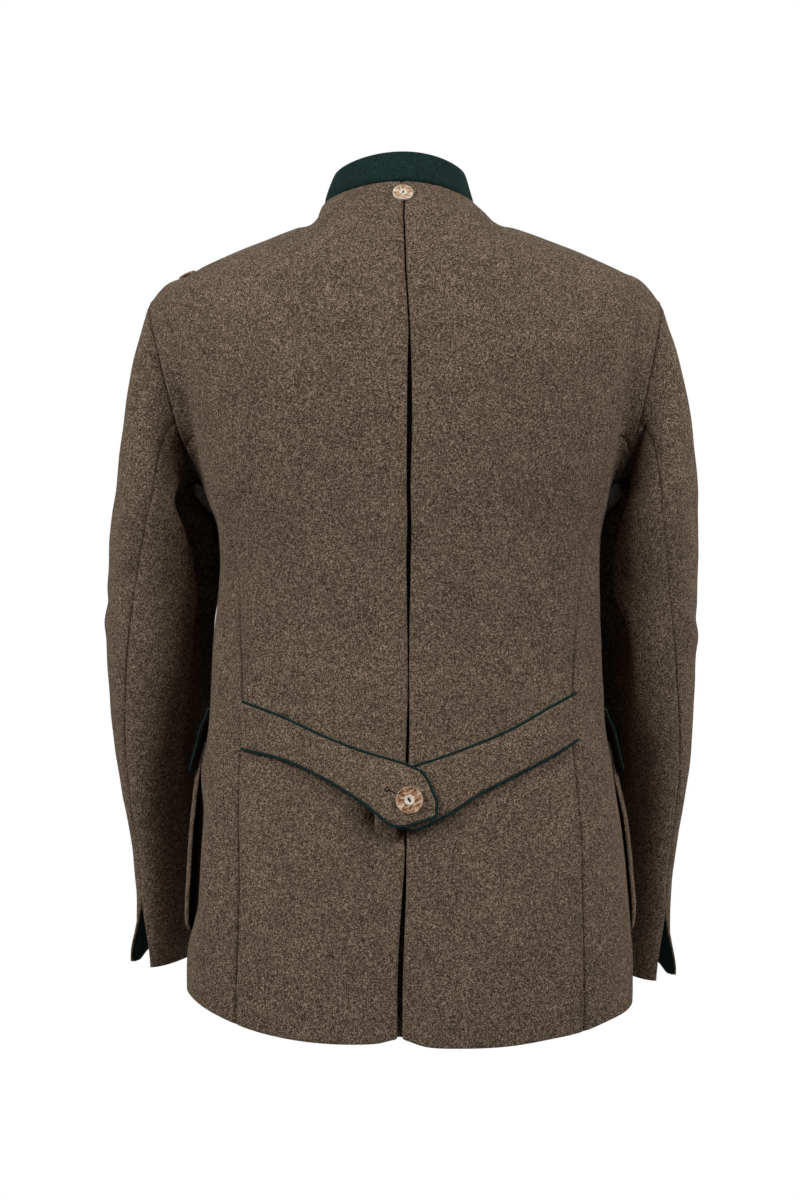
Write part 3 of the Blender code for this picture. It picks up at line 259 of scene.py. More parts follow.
PLEAT = table("z half_gap_mm return_width_mm bulge_mm sway_mm", """
    -0.780  2.1 26 5  9.1
    -0.690  2.1 26 6  8.8
    -0.640  1.6 26 7  6.3
    -0.605  0.6 26 7  4.3
    -0.560  0.5 26 7  1.9
    -0.500  1.2 26 7 -0.5
    -0.457  0.4 26 7 -0.8
    -0.418  0.5 26 7 -0.9
    -0.375  1.3 26 8  0.7
    -0.338  1.9 26 8  1.5
    -0.300  1.7 26 8 -0.1
    -0.178  1.7 24 6 -1.9
    -0.150  0.9 22 4 -2.5
    -0.136  0.3 20 3 -2.8
    -0.115 0.25 19 3 -2.1
    -0.090 0.25 18 2 -0.9
    -0.068 0.25 17 2  1.0
    -0.047 0.25 16 1  2.5
    -0.026 0.25 15 1  1.5
    -0.013  0.3 15 0 -2.3
     0.010  0.3 14 0 -2.5
""")
FOLD_RADIUS = CLOTH + 0.5 * MM
SWAY_G = 0.055
UNDERLAY_TOP_CLEAR, UNDERLAY_TURN_UP = 4 * SEAM, 3.5 * MM

FOLDS = table("side g z half_height half_width depth_mm", """
     left 0.185 -0.640 0.100 0.040  2.5
     left 0.340 -0.640 0.090 0.036 -3.0
    right 0.180 -0.660 0.110 0.045  2.0
    right 0.345 -0.400 0.090 0.036  4.0
     left 0.330 -0.410 0.070 0.034  3.0
""")

BELT_COLUMNS = both_sides("x top bottom lift_mm", """
    -0.0262 -0.5560 -0.5680 6.4
    -0.0215 -0.5448 -0.5696 6.6
    -0.0150 -0.5330 -0.5718 6.8
    -0.0060 -0.5275 -0.5750 6.8
     0.0060 -0.5230 -0.5760 6.6
     0.0350 -0.5145 -0.5570 5.6
     0.0720 -0.5005 -0.5345 3.0
     0.1110 -0.4830 -0.5180 1.6
     0.1480 -0.4700 -0.5100 1.2
""", """
    -0.1540 -0.4620 -0.5020 1.4
    -0.1290 -0.4745 -0.5165 1.5
    -0.0955 -0.4930 -0.5325 1.7
    -0.0627 -0.5068 -0.5490 2.2
    -0.0300 -0.5188 -0.5695 2.8
    -0.0084 -0.5258 -0.5790 3.0
     0.0100 -0.5320 -0.5740 3.0
""")
BELT_CLOTH, BELT_CROWN, BELT_SAG = 2.8 * MM, 0.5 * MM, 7 * MM
BELT_SAG_X, BELT_SAG_WIDTH = 0.012, 0.045
BELT_SAG_TOP, BELT_SAG_HEIGHT = -0.520, 0.050
# How the belt's columns crowd towards its first end.
BELT_SPACING = {LEFT: 1.4, RIGHT: 1.0}
PIPING_RADIUS = 1.1 * MM
PIPING_CLEAR = PIPING_RADIUS + SEAM
CORD_SIDES, CORD_FULLNESS = 12, 1.2

POCKET_G, POCKET_Z = (0.510, 0.790), (-0.690, -0.512)
POCKET_STAND, POCKET_BELLOWS = 6.7 * MM, 9 * MM
POCKET_CORNER = 20 * MM
LAID_CLEAR, POCKET_CLEAR = 1.4 * MM, 1.0 * MM
FLAP_G, FLAP_Z = (0.502, 0.798), (-0.538, -0.479)
FLAP_STAND, FLAP_FLARE, FLAP_RISE = 9.8 * MM, 2.0 * MM, 0.42
FLAP_CORNER = 10 * MM

VENT_FALL = 1.82
VENT_FLARE = (7.0 * MM, 2.0 * MM, 4.5 * MM)
VENT_FLARE_WIDTH = 0.07
VENT_OPEN_U = 0.043
FACING_ROWS, FACING_COLUMNS = 3, 5

ButtonSize = namedtuple("ButtonSize", "radius thick")
BELT_BUTTON = ButtonSize(12.0 * MM, 4.2 * MM)
NECK_BUTTON = ButtonSize(9.3 * MM, 3.6 * MM)
SHOULDER_BUTTON = ButtonSize(8.6 * MM, 3.4 * MM)
FRONT_BUTTON = ButtonSize(11.5 * MM, 4.2 * MM)
BELT_BUTTON_X, BELT_BUTTON_Z = -4.2 * MM, -0.5548
NECK_BUTTON_RISE, NECK_BUTTON_SINK = 1.9367, 0.5 * MM
SHOULDER_BUTTON_X, SHOULDER_BUTTON_CLEAR = 0.2070, 0.6 * MM
FRONT_BUTTON_COUNT, FRONT_BUTTON_CLEAR = 5, 0.3 * MM
FRONT_BUTTON_Z, FRONT_BUTTON_PITCH = -0.128, 94 * MM
FRONT_BUTTON_RISES = (0.3, 1.95)


# ---------------------------------------------------------------- small mathematics
def vectors(x, y, z):
    return np.stack(np.broadcast_arrays(x, y, z), axis=-1).astype(float)


def unit(v):
    return v / np.linalg.norm(v, axis=-1, keepdims=True)


def mix(a, b, t):
    return a + (b - a) * t


def smooth(t):
    t = np.clip(t, 0, 1)
    return t * t * (3 - 2 * t)


def bell(offset, half_width):
    return np.exp(-((offset / half_width) ** 2))


def hermite(p, leave, q, arrive, t):
    """The cubic from p to q that leaves and arrives with the slopes given."""
    t2, t3 = t * t, t * t * t
    return (2 * t3 - 3 * t2 + 1) * p + (t3 - 2 * t2 + t) * leave + (3 * t2 - 2 * t3) * q + (t3 - t2) * arrive


def read(rows, name, at):
    """A column of a table at the values of its first column, on a smooth curve through its rows."""
    knots = np.array([row[0] for row in rows])
    values = np.array([getattr(row, name) for row in rows])
    slopes = np.gradient(values, knots)
    at = np.clip(at, knots[0], knots[-1])
    k = np.clip(np.searchsorted(knots, at, side="right") - 1, 0, len(knots) - 2)
    span = knots[k + 1] - knots[k]
    t = (at - knots[k]) / span
    return hermite(values[k], slopes[k] * span, values[k + 1], slopes[k + 1] * span, t)


def tangent(curve, at, step=1e-4):
    return unit(curve(at + step) - curve(at - step))


# ---------------------------------------------------------------- the seams round the top
def neckline(turn):
    """The neck seam: turn is 0 at the centre back, pi / 2 at the shoulder, pi at the centre front."""
    s, c = np.sin(turn), np.cos(turn)
    depth = np.where(c > 0, NECK_BACK, NECK_FRONT)
    rise = np.where(c > 0, NECK_BACK_RISE, -NECK_FRONT_DROP)
    return vectors(NECK_HALF_WIDTH * s, NECK_MIDDLE_Y + depth * c, rise * c * c)


def neck_out(turn):
    """The way in which the rims of the neck seam face."""
    s, c = np.sin(turn), np.cos(turn)
    return unit(vectors(0.85 * s, 0.92 * c, 0.40 + 0.13 * s * s))


def shoulder(share):
    """The shoulder seam, from the neck to the armhole."""
    x = mix(SHOULDER[0].x, SHOULDER[-1].x, share)
    return vectors(x, read(SHOULDER, "y", x), read(SHOULDER, "z", x))


def shoulder_out(share):
    along = tangent(shoulder, np.clip(share, 0.01, 0.99))
    across = vectors(-along[..., 2], 0, along[..., 0])
    share = np.asarray(share)[..., None]
    near_neck = mix(neck_out(math.pi / 2), across, smooth(share / 0.3))
    return unit(mix(near_neck, armhole_out(0.0), smooth((share - 0.7) / 0.3)))


def armhole(turn):
    """The armhole: turn is 0 at the shoulder seam, pi / 2 at the back, pi under the arm."""
    s, c = np.sin(turn), np.cos(turn)
    x = ARMHOLE_MIDDLE[0] + ARMHOLE_LEAN * c - np.where(s < 0, ARMHOLE_SCOOP * s * s, 0)
    y = ARMHOLE_MIDDLE[1] + np.where(s > 0, ARMHOLE_BACK, ARMHOLE_FRONT) * s
    return vectors(x, y, ARMHOLE_MIDDLE[2] + ARMHOLE_RISE * c)


def armhole_out(turn):
    s, c = np.sin(turn), np.cos(turn)
    return unit(vectors(0.2 + 1.28 * np.maximum(c, 0) ** 2, s, c))


def past_seam(curve, at, out, towards):
    """The unit step across a seam, along the cloth, to the side that `towards` points to."""
    step = unit(np.cross(tangent(curve, at), out))
    return step * np.sign(np.sum(step * towards, axis=-1, keepdims=True))


# ---------------------------------------------------------------- the torso surface
def ring(z, g):
    """A point of the level section at height z, g of the way from centre back to centre front."""
    s, c = np.sin(np.pi * g), np.cos(np.pi * g)
    square = np.where(c > 0, read(TORSO, "back_square", z), read(TORSO, "front_square", z))
    reach = (np.abs(s) ** square + np.abs(c) ** square) ** (-1 / square)
    side_y = read(TORSO, "side_y", z)
    depth = np.where(c > 0, read(TORSO, "back_y", z) - side_y, side_y - read(TORSO, "front_y", z))
    return vectors(read(TORSO, "half_width", z) * s * reach, side_y + depth * c * reach, z)


def neck_turn(g):
    back, front = g / NECK_G, 1 + (g - FRONT_NECK_G) / (1 - FRONT_NECK_G)
    return np.pi / 2 * np.where(g < 0.5, back, front)


def shoulder_share(g):
    back = (g - NECK_G) / (SHOULDER_G - NECK_G)
    front = (FRONT_NECK_G - g) / (FRONT_NECK_G - FRONT_SHOULDER_G)
    return np.clip(np.where(g < 0.5, back, front), 0, 1)


def armhole_turn(g):
    return 2 * np.pi * np.clip((g - SHOULDER_G) / (FRONT_SHOULDER_G - SHOULDER_G), 0, 1)


def is_neck(g):
    return ((g <= NECK_G) | (g >= FRONT_NECK_G))[..., None]


def is_shoulder(g):
    return (((g >= NECK_G) & (g <= SHOULDER_G)) | ((g >= FRONT_SHOULDER_G) & (g <= FRONT_NECK_G)))[..., None]


def is_armhole(g):
    return ((g >= SHOULDER_G) & (g <= FRONT_SHOULDER_G))[..., None]


def top_edge(g):
    """The top edge of the torso above g."""
    sewn = np.where(is_armhole(g), armhole(armhole_turn(g)), shoulder(shoulder_share(g)))
    return np.where(is_neck(g), neckline(neck_turn(g)), sewn)


def arrival(g):
    """The arrival at the top edge; past the centre front it mirrors that of the other half."""
    mirrored = np.where(g > 1, 2 - g, g)
    x = read(ARRIVAL, "x", mirrored) * np.where(g > 1, -1, 1)
    return vectors(x, read(ARRIVAL, "y", mirrored), read(ARRIVAL, "z", mirrored))


def top_out(g):
    """The way in which the rim of the top edge faces."""
    rims = np.where(is_shoulder(g), shoulder_out(shoulder_share(g)), armhole_out(armhole_turn(g)))
    return np.where(is_neck(g), neck_out(neck_turn(g)), rims)


def top_margin(g):
    """The half seam by which the torso stops short of its top edge; corners stop short twice."""
    way = arrival(g)
    turn, share, arm = neck_turn(g), shoulder_share(g), armhole_turn(g)
    neck = past_seam(neckline, turn, neck_out(turn), way)
    sewn = past_seam(shoulder, np.clip(share, 0.001, 0.999), shoulder_out(share), way)
    sleeve_side = past_seam(armhole, arm, armhole_out(arm), way)
    total = np.where(is_neck(g), neck, 0) + np.where(is_shoulder(g), sewn, 0)
    return -SEAM / 2 * (total + np.where(is_armhole(g), sleeve_side, 0))


def hem_z(g, side):
    """The height of the hem at girth g, with the shallow notch at the centre back."""
    level = np.where(side > 0, read(HEM, "left", np.abs(g)), read(HEM, "right", np.abs(g)))
    centre = np.where(side > 0, HEM[0].left, HEM[0].right)
    return level + (HEM_NOTCH_Z - centre) * bell(g, HEM_NOTCH_G)


def plain_torso(g, rise, side):
    """The torso without its folds, still on the wearer's left."""
    below = ring(mix(hem_z(g, side), CHEST_Z, np.minimum(rise, 1)), g)
    base = ring(CHEST_Z, g)
    edge = top_edge(g)
    reach = np.linalg.norm(edge - base, axis=-1, keepdims=True)
    leave = unit(base - ring(CHEST_Z - 0.01, g))
    above = hermite(base, leave * reach, edge, arrival(g), np.asarray(rise - 1)[..., None])
    return np.where(np.asarray(rise <= 1)[..., None], below, above)


def surface_normal(surface, a, b, step=2e-4):
    across = surface(a + step, b) - surface(a - step, b)
    up = surface(a, b + step) - surface(a, b - step)
    return unit(np.cross(up, across))


def torso(g, rise, side):
    """The outer face of the torso."""
    g, rise, side = np.broadcast_arrays(np.asarray(g, float), np.asarray(rise, float), side)
    point = plain_torso(g, rise, side)
    z = point[..., 2]
    push = np.zeros(z.shape)
    for fold in FOLDS:
        shape = bell(g - fold.g, fold.half_width) * bell(z - fold.z, fold.half_height)
        push = push - fold.depth * shape * (side == fold.side)
    normal = surface_normal(lambda a, b: plain_torso(a, b, side), g, rise)
    point = point + normal * push[..., None]
    shift = read(DRIFT, "torso", z) + read(PLEAT, "sway", z) * bell(g, SWAY_G)
    return vectors(point[..., 0] * side + shift, point[..., 1], z)


def torso_out(g, rise, side):
    """The outward normal of the torso."""
    side = np.asarray(side)
    found = surface_normal(lambda a, b: torso(a, b, side), np.asarray(g, float), np.minimum(rise, 1.999))
    return found * side[..., None]


def girth(distance, rise, at=0.0):
    """The change in g that covers a distance round the body, near girth `at`."""
    step = 0.01
    here = plain_torso(np.asarray(at + 0 * rise), rise, LEFT)
    there = plain_torso(np.asarray(at + step + 0 * rise), rise, LEFT)
    return distance * step / np.linalg.norm(there - here, axis=-1)


def rise_at(z, g, side):
    """The rise of a height below the chest."""
    bottom = hem_z(g, side)
    return (z - bottom) / (CHEST_Z - bottom)


def spot_on_back(x, z):
    """The girth, rise and side of the place on the back, below the chest, at x and z."""
    side = np.where(x - read(DRIFT, "torso", z) >= 0, LEFT, RIGHT)
    square = read(TORSO, "back_square", z)
    wide = np.abs(x - read(DRIFT, "torso", z)) / read(TORSO, "half_width", z)
    g = np.arctan2(wide, (1 - wide**square) ** (1 / square)) / np.pi
    return g, rise_at(z, g, side), side


# ---------------------------------------------------------------- the sleeve surface
def sleeve_ring(u, fall, side):
    """A point of the sleeve's section below the armhole, before it is set to its side."""
    turn = np.radians(read(SLEEVE, "turn", fall))
    a = read(SLEEVE, "across", fall) * np.cos(2 * np.pi * u)
    b = read(SLEEVE, "along", fall) * np.sin(2 * np.pi * u)
    inner, behind = np.maximum(-np.cos(2 * np.pi * u), 0), np.sin(2 * np.pi * u)
    swells = HELD_OFF[side], REACHES_IN[side]
    off, towards = [swell.by * bell(read(SLEEVE, "z", fall) - swell.z, swell.height) for swell in swells]
    a += inner * (off * (1 + behind) / 2 - towards * np.maximum(-behind, 0))
    dx, dy = a * np.cos(turn) + b * np.sin(turn), b * np.cos(turn) - a * np.sin(turn)
    z = read(SLEEVE, "z", fall) - read(SLEEVE, "lean", fall) * dy
    return vectors(read(SLEEVE, "x", fall) + dx, read(SLEEVE, "y", fall) + dy, z)


def sleeve_leave(turn):
    """The direction in which the sleeve's cloth leaves the armhole."""
    s, under = np.sin(turn), np.maximum(-np.cos(turn), 0)
    outwards = 0.24 + 0.56 * s * s + under * (0.62 - 1.10 * np.maximum(-s, 0))
    return unit(vectors(outwards, 0.12 * s, -0.95 + 0.50 * s * s + 0.29 * under))


def sleeve(u, fall, side):
    """The outer face of a sleeve."""
    u, fall = np.broadcast_arrays(np.asarray(u, float), np.asarray(fall, float))
    turn = 2 * np.pi * u
    start, end = armhole(turn), sleeve_ring(u, np.ones(u.shape), side)
    reach = np.linalg.norm(end - start, axis=-1, keepdims=True)
    arrive = unit(sleeve_ring(u, np.full(u.shape, 1.03), side) - end)
    softness = (1 - 0.45 * np.sin(turn) ** 2)[..., None]
    head = hermite(start, sleeve_leave(turn) * reach * softness, end, arrive * reach, fall[..., None])
    point = np.where((fall < 1)[..., None], head, sleeve_ring(u, np.maximum(fall, 1), side))
    shift = read(DRIFT, "sleeve", point[..., 2])
    longer = SLEEVE_EXTRA[side] * np.clip(fall - 1, 0, None)
    return vectors(point[..., 0] * side + shift, point[..., 1], point[..., 2] - longer)


def sleeve_out(u, fall, side):
    """The outward normal of a sleeve."""
    found = surface_normal(lambda a, b: sleeve(a, b, side), np.asarray(u, float), np.maximum(fall, 0.001))
    return found * side


# ---------------------------------------------------------------- creases
# Soft ridges (depth above 0) and troughs: at a girth and height, turned from the vertical in degrees.
TORSO_CREASES = table("side g z turn half_length_mm half_width_mm depth_mm", """
     left 0.0285 -0.5745  48 16  9 -17.0
    right  0.262  -0.395   4 60 11   2.2
    right  0.232  -0.400   2 55  9  -1.6
     left  0.246  -0.430  -4 45 10   1.6
     left  0.215  -0.420  -2 40  9  -1.2
     left  0.300  -0.680   3 80 16   2.0
     left  0.262  -0.660   2 80 12  -1.8
    right  0.290  -0.680  -3 80 15   1.6
    right  0.250  -0.640  -2 70 12  -1.4
     left  0.330  -0.200  14 60 13  -1.8
    right  0.330  -0.200  14 60 13  -1.8
     left  0.120  -0.250   8 90 20  -0.9
    right  0.110  -0.230  -8 90 20  -0.9
     left  0.640  -0.250 -18 60 14  -1.8
    right  0.640  -0.250 -18 60 14  -1.8
     left  0.760  -0.420   6 70 13   1.5
    right  0.770  -0.410   5 70 13   1.5
     left  0.560  -0.400   0 60 12  -1.5
    right  0.560  -0.400   0 60 12  -1.5
""")
SLEEVE_CREASES = table("side g z turn half_length_mm half_width_mm depth_mm", """
     left 0.160 -0.365  66 45  9 -2.2
     left 0.130 -0.392  60 42  8  1.6
     left 0.200 -0.345  58 30  7  1.4
     left 0.080 -0.300  12 70 14  1.8
     left 0.150 -0.280  14 60 12 -1.6
     left 0.060 -0.520  -6 70 13  1.4
    right 0.170 -0.380  64 42  9 -2.0
    right 0.140 -0.405  58 40  8  1.4
    right 0.100 -0.300  12 70 14  1.6
    right 0.160 -0.270  12 60 12 -1.5
    right 0.060 -0.520  -6 70 13  1.3
     left 0.500 -0.345  78 50 10 -2.4
    right 0.500 -0.345  78 50 10 -2.0
     left 0.700 -0.360 -60 45  9 -1.8
    right 0.700 -0.360 -60 45  9 -1.8
""")
# The deep fold at the back of each underarm: where its crisp edge and its far side lie round the
# sleeve at each height, and how deep it is.
UNDERARM_FOLDS = both_sides("z edge far depth_mm", """
    -0.600 0.430 0.56  0.0
    -0.560 0.433 0.56  4.0
    -0.464 0.437 0.56  8.0
    -0.420 0.443 0.56 11.0
    -0.376 0.438 0.56 15.0
    -0.343 0.421 0.56 18.0
    -0.311 0.397 0.54 20.0
    -0.280 0.366 0.52 20.0
    -0.264 0.392 0.51 20.0
    -0.245 0.376 0.50 18.0
    -0.222 0.335 0.50  9.0
    -0.212 0.325 0.50  0.0
""", """
    -0.580 0.420  0.56  0.0
    -0.519 0.402  0.56  6.0
    -0.471 0.388  0.56 10.0
    -0.430 0.385  0.56 14.0
    -0.401 0.392  0.56 16.0
    -0.371 0.424  0.54 17.0
    -0.332 0.429  0.52 18.0
    -0.296 0.415 0.495 18.0
    -0.260 0.400  0.48 17.0
    -0.236 0.350  0.52 12.0
    -0.216 0.315  0.50  5.0
    -0.205 0.305  0.50  0.0
""")
FOLD_LIP, FOLD_LIP_WIDTH, FOLD_STEEP, FOLD_FLOOR = 0.14, 7 * MM, 0.28, 0.5
# Where body and sleeve meet, the same fold tucks both in under the back's edge: between which
# distances from the middle of the back at each height, and how deep.
TUCKS = both_sides("z body sleeve depth_mm", """
    -0.330 0.1730 0.2120  0.0
    -0.300 0.1762 0.2120 18.0
    -0.292 0.1803 0.2155 22.0
    -0.279 0.1862 0.2172 22.0
    -0.267 0.1915 0.2125 22.0
    -0.245 0.2000 0.2074 24.0
    -0.222 0.2092 0.2110 12.0
    -0.210 0.2130 0.2130  0.0
""", """
    -0.330 0.1830 0.2000  0.0
    -0.300 0.1900 0.2012 14.0
    -0.292 0.1923 0.2030 16.0
    -0.260 0.2016 0.2119 24.0
    -0.241 0.2086 0.2155 22.0
    -0.219 0.2180 0.2210 12.0
    -0.205 0.2245 0.2265  0.0
""")
# How far the body draws in behind the standing edge of each pocket.
POCKET_HOLLOW = {LEFT: 9.0 * MM, RIGHT: 3.4 * MM}
POCKET_HOLLOW_FOOT, POCKET_HOLLOW_TOP, POCKET_HOLLOW_REACH = -0.705, -0.525, 0.12
HOLLOW_RISE, HOLLOW_FADE = 0.05, 0.06
# The same hollow from front to back: where it begins and ends, and over what depth.
HOLLOW_FRONT, HOLLOW_FRONT_SOFT = 0.006, 0.012
HOLLOW_BACK, HOLLOW_BACK_SOFT = 0.045, 0.055
# The soft hollow behind the shoulder's button.
SHOULDER_DIP, SHOULDER_DIP_FOOT = 3.8 * MM, -0.130
SHOULDER_DIP_X, SHOULDER_DIP_WIDTH = 0.212, 0.019
SHOULDER_DIP_BACK, SHOULDER_DIP_DEPTH = 0.031, 0.017
TUCK_WALL, TUCK_BACK, TUCK_SOFT, TUCK_FALL = 4 * MM, -0.006, 0.020, 0.30
HALF_GIRTH, SLEEVE_GIRTH = 0.50, 0.36
RIPPLE = 0.16 * MM
SEAM_DEPTH, SEAM_WIDTH = 1.2 * MM, 1.9 * MM
# The pucker along a seam: its share of the depth, its length, and how its rhythm wanders.
PUCKER, PUCKER_LENGTH, PUCKER_STRAY, PUCKER_PACE = 0.25, 12 * MM, 0.8, 90
# Over what rise and fall creases fade out towards the top edge and the armhole.
TORSO_FADE, SLEEVE_FADE = 0.12, 0.15
# Over what rise and fall the cloth turns to face as its rim does.
RIM_TURN, HEAD_TURN = 0.035, 0.06
NUDGE = 1e-4
# The fine grids: steps up the torso and down the sleeve, and columns or rows of each piece.
BODY_STEPS, CHEST_STEPS = 128, 90
HEAD_STEPS, ARM_STEPS = 36, 120
BACK_COLUMNS, SIDE_COLUMNS, FRONT_COLUMNS = [20, 46, 36], 34, [28, 40, 30]
RETURN_COLUMNS, LIP_COLUMNS, FINE_UNDERLAY_COLUMNS, LAP_COLUMNS = 8, 10, 21, 7
UPPER_COLUMNS, UNDER_COLUMNS, FACING_GRID = (36, 34), 46, 26
COLLAR_COLUMNS, COLLAR_ROWS = [28, 30], 12
BELT_GRID, POCKET_GRID, FLAP_GRID = (21, 90), (70, 64), (34, 60)


def crease_push(creases, side, place, z, girth_length):
    """How far the creases stand proud of a surface, at places round it and heights."""
    push = np.zeros(np.broadcast(place, z).shape)
    for crease in creases:
        turn = math.radians(crease.turn)
        across, up = (place - crease.g) * girth_length, z - crease.z
        along = up * math.cos(turn) + across * math.sin(turn)
        aside = across * math.cos(turn) - up * math.sin(turn)
        shape = bell(along, crease.half_length) * bell(aside, crease.half_width)
        push = push + crease.depth * shape * (side == crease.side)
    return push


def shoulder_dip(apart, y, z, side):
    """How far the cloth sinks behind the shoulder's button."""
    dip = SHOULDER_DIP * bell(apart - SHOULDER_DIP_X, SHOULDER_DIP_WIDTH)
    dip = dip * bell(y - SHOULDER_DIP_BACK, SHOULDER_DIP_DEPTH)
    return dip * (side == LEFT) * (z > SHOULDER_DIP_FOOT)


def pocket_hollow(apart, y, z, side):
    """How far the body draws in behind a pocket's standing edge."""
    level = smooth((z - POCKET_HOLLOW_FOOT) / HOLLOW_RISE) * smooth((POCKET_HOLLOW_TOP - z) / HOLLOW_FADE)
    behind = smooth((y - HOLLOW_FRONT) / HOLLOW_FRONT_SOFT)
    behind = behind * (1 - smooth((y - HOLLOW_BACK) / HOLLOW_BACK_SOFT))
    return POCKET_HOLLOW[side] * level * behind * (apart > POCKET_HOLLOW_REACH)


def tuck(point, side):
    """How a point of the body or sleeve moves at the underarm, the shoulder's button and the pocket."""
    rows, apart, y, z = TUCKS[side], point[..., 0] * side, point[..., 1], point[..., 2]
    body, sleeve_edge, depth = (read(rows, name, z) for name in ("body", "sleeve", "depth"))
    within = smooth((apart - body) / TUCK_WALL) * smooth((sleeve_edge - apart) / TUCK_WALL + 0.5)
    inwards = depth * within * smooth((y - TUCK_BACK) / TUCK_SOFT)
    return vectors(-side * pocket_hollow(apart, y, z, side), -inwards, -shoulder_dip(apart, y, z, side))


def underarm_fold(side, around, z):
    """How far the sleeve stands proud beside its crisp underarm edge, and how deep it falls in beyond it."""
    rows = UNDERARM_FOLDS[side]
    edge, far, depth = (read(rows, name, z) for name in ("edge", "far", "depth"))
    past = (around - edge) / (far - edge)
    dip = smooth(past / FOLD_STEEP) * (1 - smooth((past - FOLD_FLOOR) / (1 - FOLD_FLOOR)))
    lip = FOLD_LIP * bell((edge - around) * SLEEVE_GIRTH - FOLD_LIP_WIDTH / 2, FOLD_LIP_WIDTH)
    return depth * (lip - dip)


def ripple(point):
    """The slight unevenness of worn felt."""
    x, y, z = point[..., 0], point[..., 1], point[..., 2]
    broad = np.sin(71 * x + 43 * z + 2.1 * np.sin(37 * z)) + np.sin(93 * z - 55 * x + 1.7 * np.sin(49 * x))
    small = 0.7 * np.sin(128 * x + 19 * y + 1.3 * np.sin(83 * z))
    return broad + small + 0.6 * np.sin(150 * z + 31 * y + 65 * x)


# ---------------------------------------------------------------- cloth shells
def finish_mesh(name, points, faces, material):
    mesh = bpy.data.meshes.new(name)
    mesh.from_pydata(points.tolist(), [], faces)
    mesh.shade_smooth()
    mesh.materials.append(material)
    made = bpy.data.objects.new(name, mesh)
    bpy.context.scene.collection.objects.link(made)
    bm = bmesh.new()
    bm.from_mesh(mesh)
    bmesh.ops.recalc_face_normals(bm, faces=bm.faces)
    bm.to_mesh(mesh)
    bm.free()
    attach(made, "root")
    return made


def row_lengths(points):
    """Distances along each row of a grid from its first column."""
    spans = np.linalg.norm(np.diff(points, axis=1), axis=-1)
    return np.concatenate([np.zeros((points.shape[0], 1)), np.cumsum(spans, axis=1)], axis=1)


def edge_distances(points):
    """Distances to the left, right, bottom and top edges of a grid."""
    across = row_lengths(points)
    up = row_lengths(points.transpose(1, 0, 2)).T
    return {"left": across, "right": across[:, -1:] - across, "bottom": up, "top": up[-1:] - up}


def draw_in(outer, out, seams):
    """Sinks the edges that are seams, with a little pucker along them.

    seams gives how fully each edge is drawn in, as a number or one number along the edge.
    """
    distances = edge_distances(outer)
    push = np.zeros(outer.shape[:2])
    for edge, share in seams.items():
        lengthways = edge in ("left", "right")
        beside = distances["bottom" if lengthways else "left"]
        share = np.broadcast_to(share, outer.shape[0] if lengthways else outer.shape[1])
        share = share[:, None] if lengthways else share[None, :]
        wander = PUCKER_STRAY * np.sin(beside * PUCKER_PACE)
        pucker = 1 + PUCKER * np.sin(beside * 2 * math.pi / PUCKER_LENGTH + wander)
        push = push - SEAM_DEPTH * share * bell(distances[edge], SEAM_WIDTH) * pucker
    return outer + out * push[..., None]


def border(rows, columns):
    """The numbers of a grid's border points, once round."""
    wide = columns + 1
    bottom = list(range(columns))
    right = [r * wide + columns for r in range(rows)]
    top = [rows * wide + c for c in range(columns, 0, -1)]
    left = [r * wide for r in range(rows, 0, -1)]
    return bottom + right + top + left


# A rolled edge, ring by ring: how deep in the wall, and how full.
RIM_PROFILE = [(0.12, 0.66), (0.5, 1.0), (0.88, 0.66)]


def shell(name, outer, out, thick, material, roll):
    """A cloth wall between a fine grid and its inner copy, each edge rounded as far as roll says."""
    rows, columns = outer.shape[0] - 1, outer.shape[1] - 1
    count = outer.shape[0] * outer.shape[1]
    flat_outer = outer.reshape(-1, 3)
    flat_inner = (outer - out * thick).reshape(-1, 3)
    a = (np.arange(rows)[:, None] * (columns + 1) + np.arange(columns)).ravel()
    quads = np.stack([a, a + 1, a + columns + 2, a + columns + 1], axis=1)
    faces = quads.tolist() + (quads[:, ::-1] + count).tolist()
    grown = np.zeros(outer.shape)
    for edge, share in roll.items():
        if edge in ("bottom", "top"):
            r, inside = (0, 1) if edge == "bottom" else (-1, -2)
            grown[r] += unit(outer[r] - outer[inside]) * thick * 0.5 * np.reshape(share, (-1, 1))
        else:
            c, inside = (0, 1) if edge == "left" else (-1, -2)
            grown[:, c] += unit(outer[:, c] - outer[:, inside]) * thick * 0.5 * np.reshape(share, (-1, 1))
    grown = grown.reshape(-1, 3)
    loop = border(rows, columns)
    rings = [mix(flat_outer, flat_inner, deep) + grown * wide for deep, wide in RIM_PROFILE]
    points = np.concatenate([flat_outer, flat_inner] + [ring[loop] for ring in rings])
    n = len(loop)
    chains = [loop] + [list(range(2 * count + k * n, 2 * count + (k + 1) * n)) for k in range(len(rings))]
    chains.append([count + k for k in loop])
    for near, far in zip(chains, chains[1:]):
        faces.extend((near[k], far[k], far[(k + 1) % n], near[(k + 1) % n]) for k in range(n))
    return finish_mesh(name, points, faces, material)


# The least share of its width times its length that the area of a sheet is stated as.
LEAST_AREA = 0.31


def declare(outer, node):
    """States a piece as a sheet of cloth, with the flat size of its cut along its rows and columns."""
    width = float(row_lengths(outer)[:, -1].max())
    length = float(row_lengths(outer.transpose(1, 0, 2))[:, -1].max())
    up, across = outer[1:, :-1] - outer[:-1, :-1], outer[:-1, 1:] - outer[:-1, :-1]
    area = float(np.linalg.norm(np.cross(up, across), axis=-1).sum())
    area = min(max(area, LEAST_AREA * width * length), width * length)
    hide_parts(node)
    print(f"cut {node}: {width:.3f} x {length:.3f} m, {area:.4f} m2")


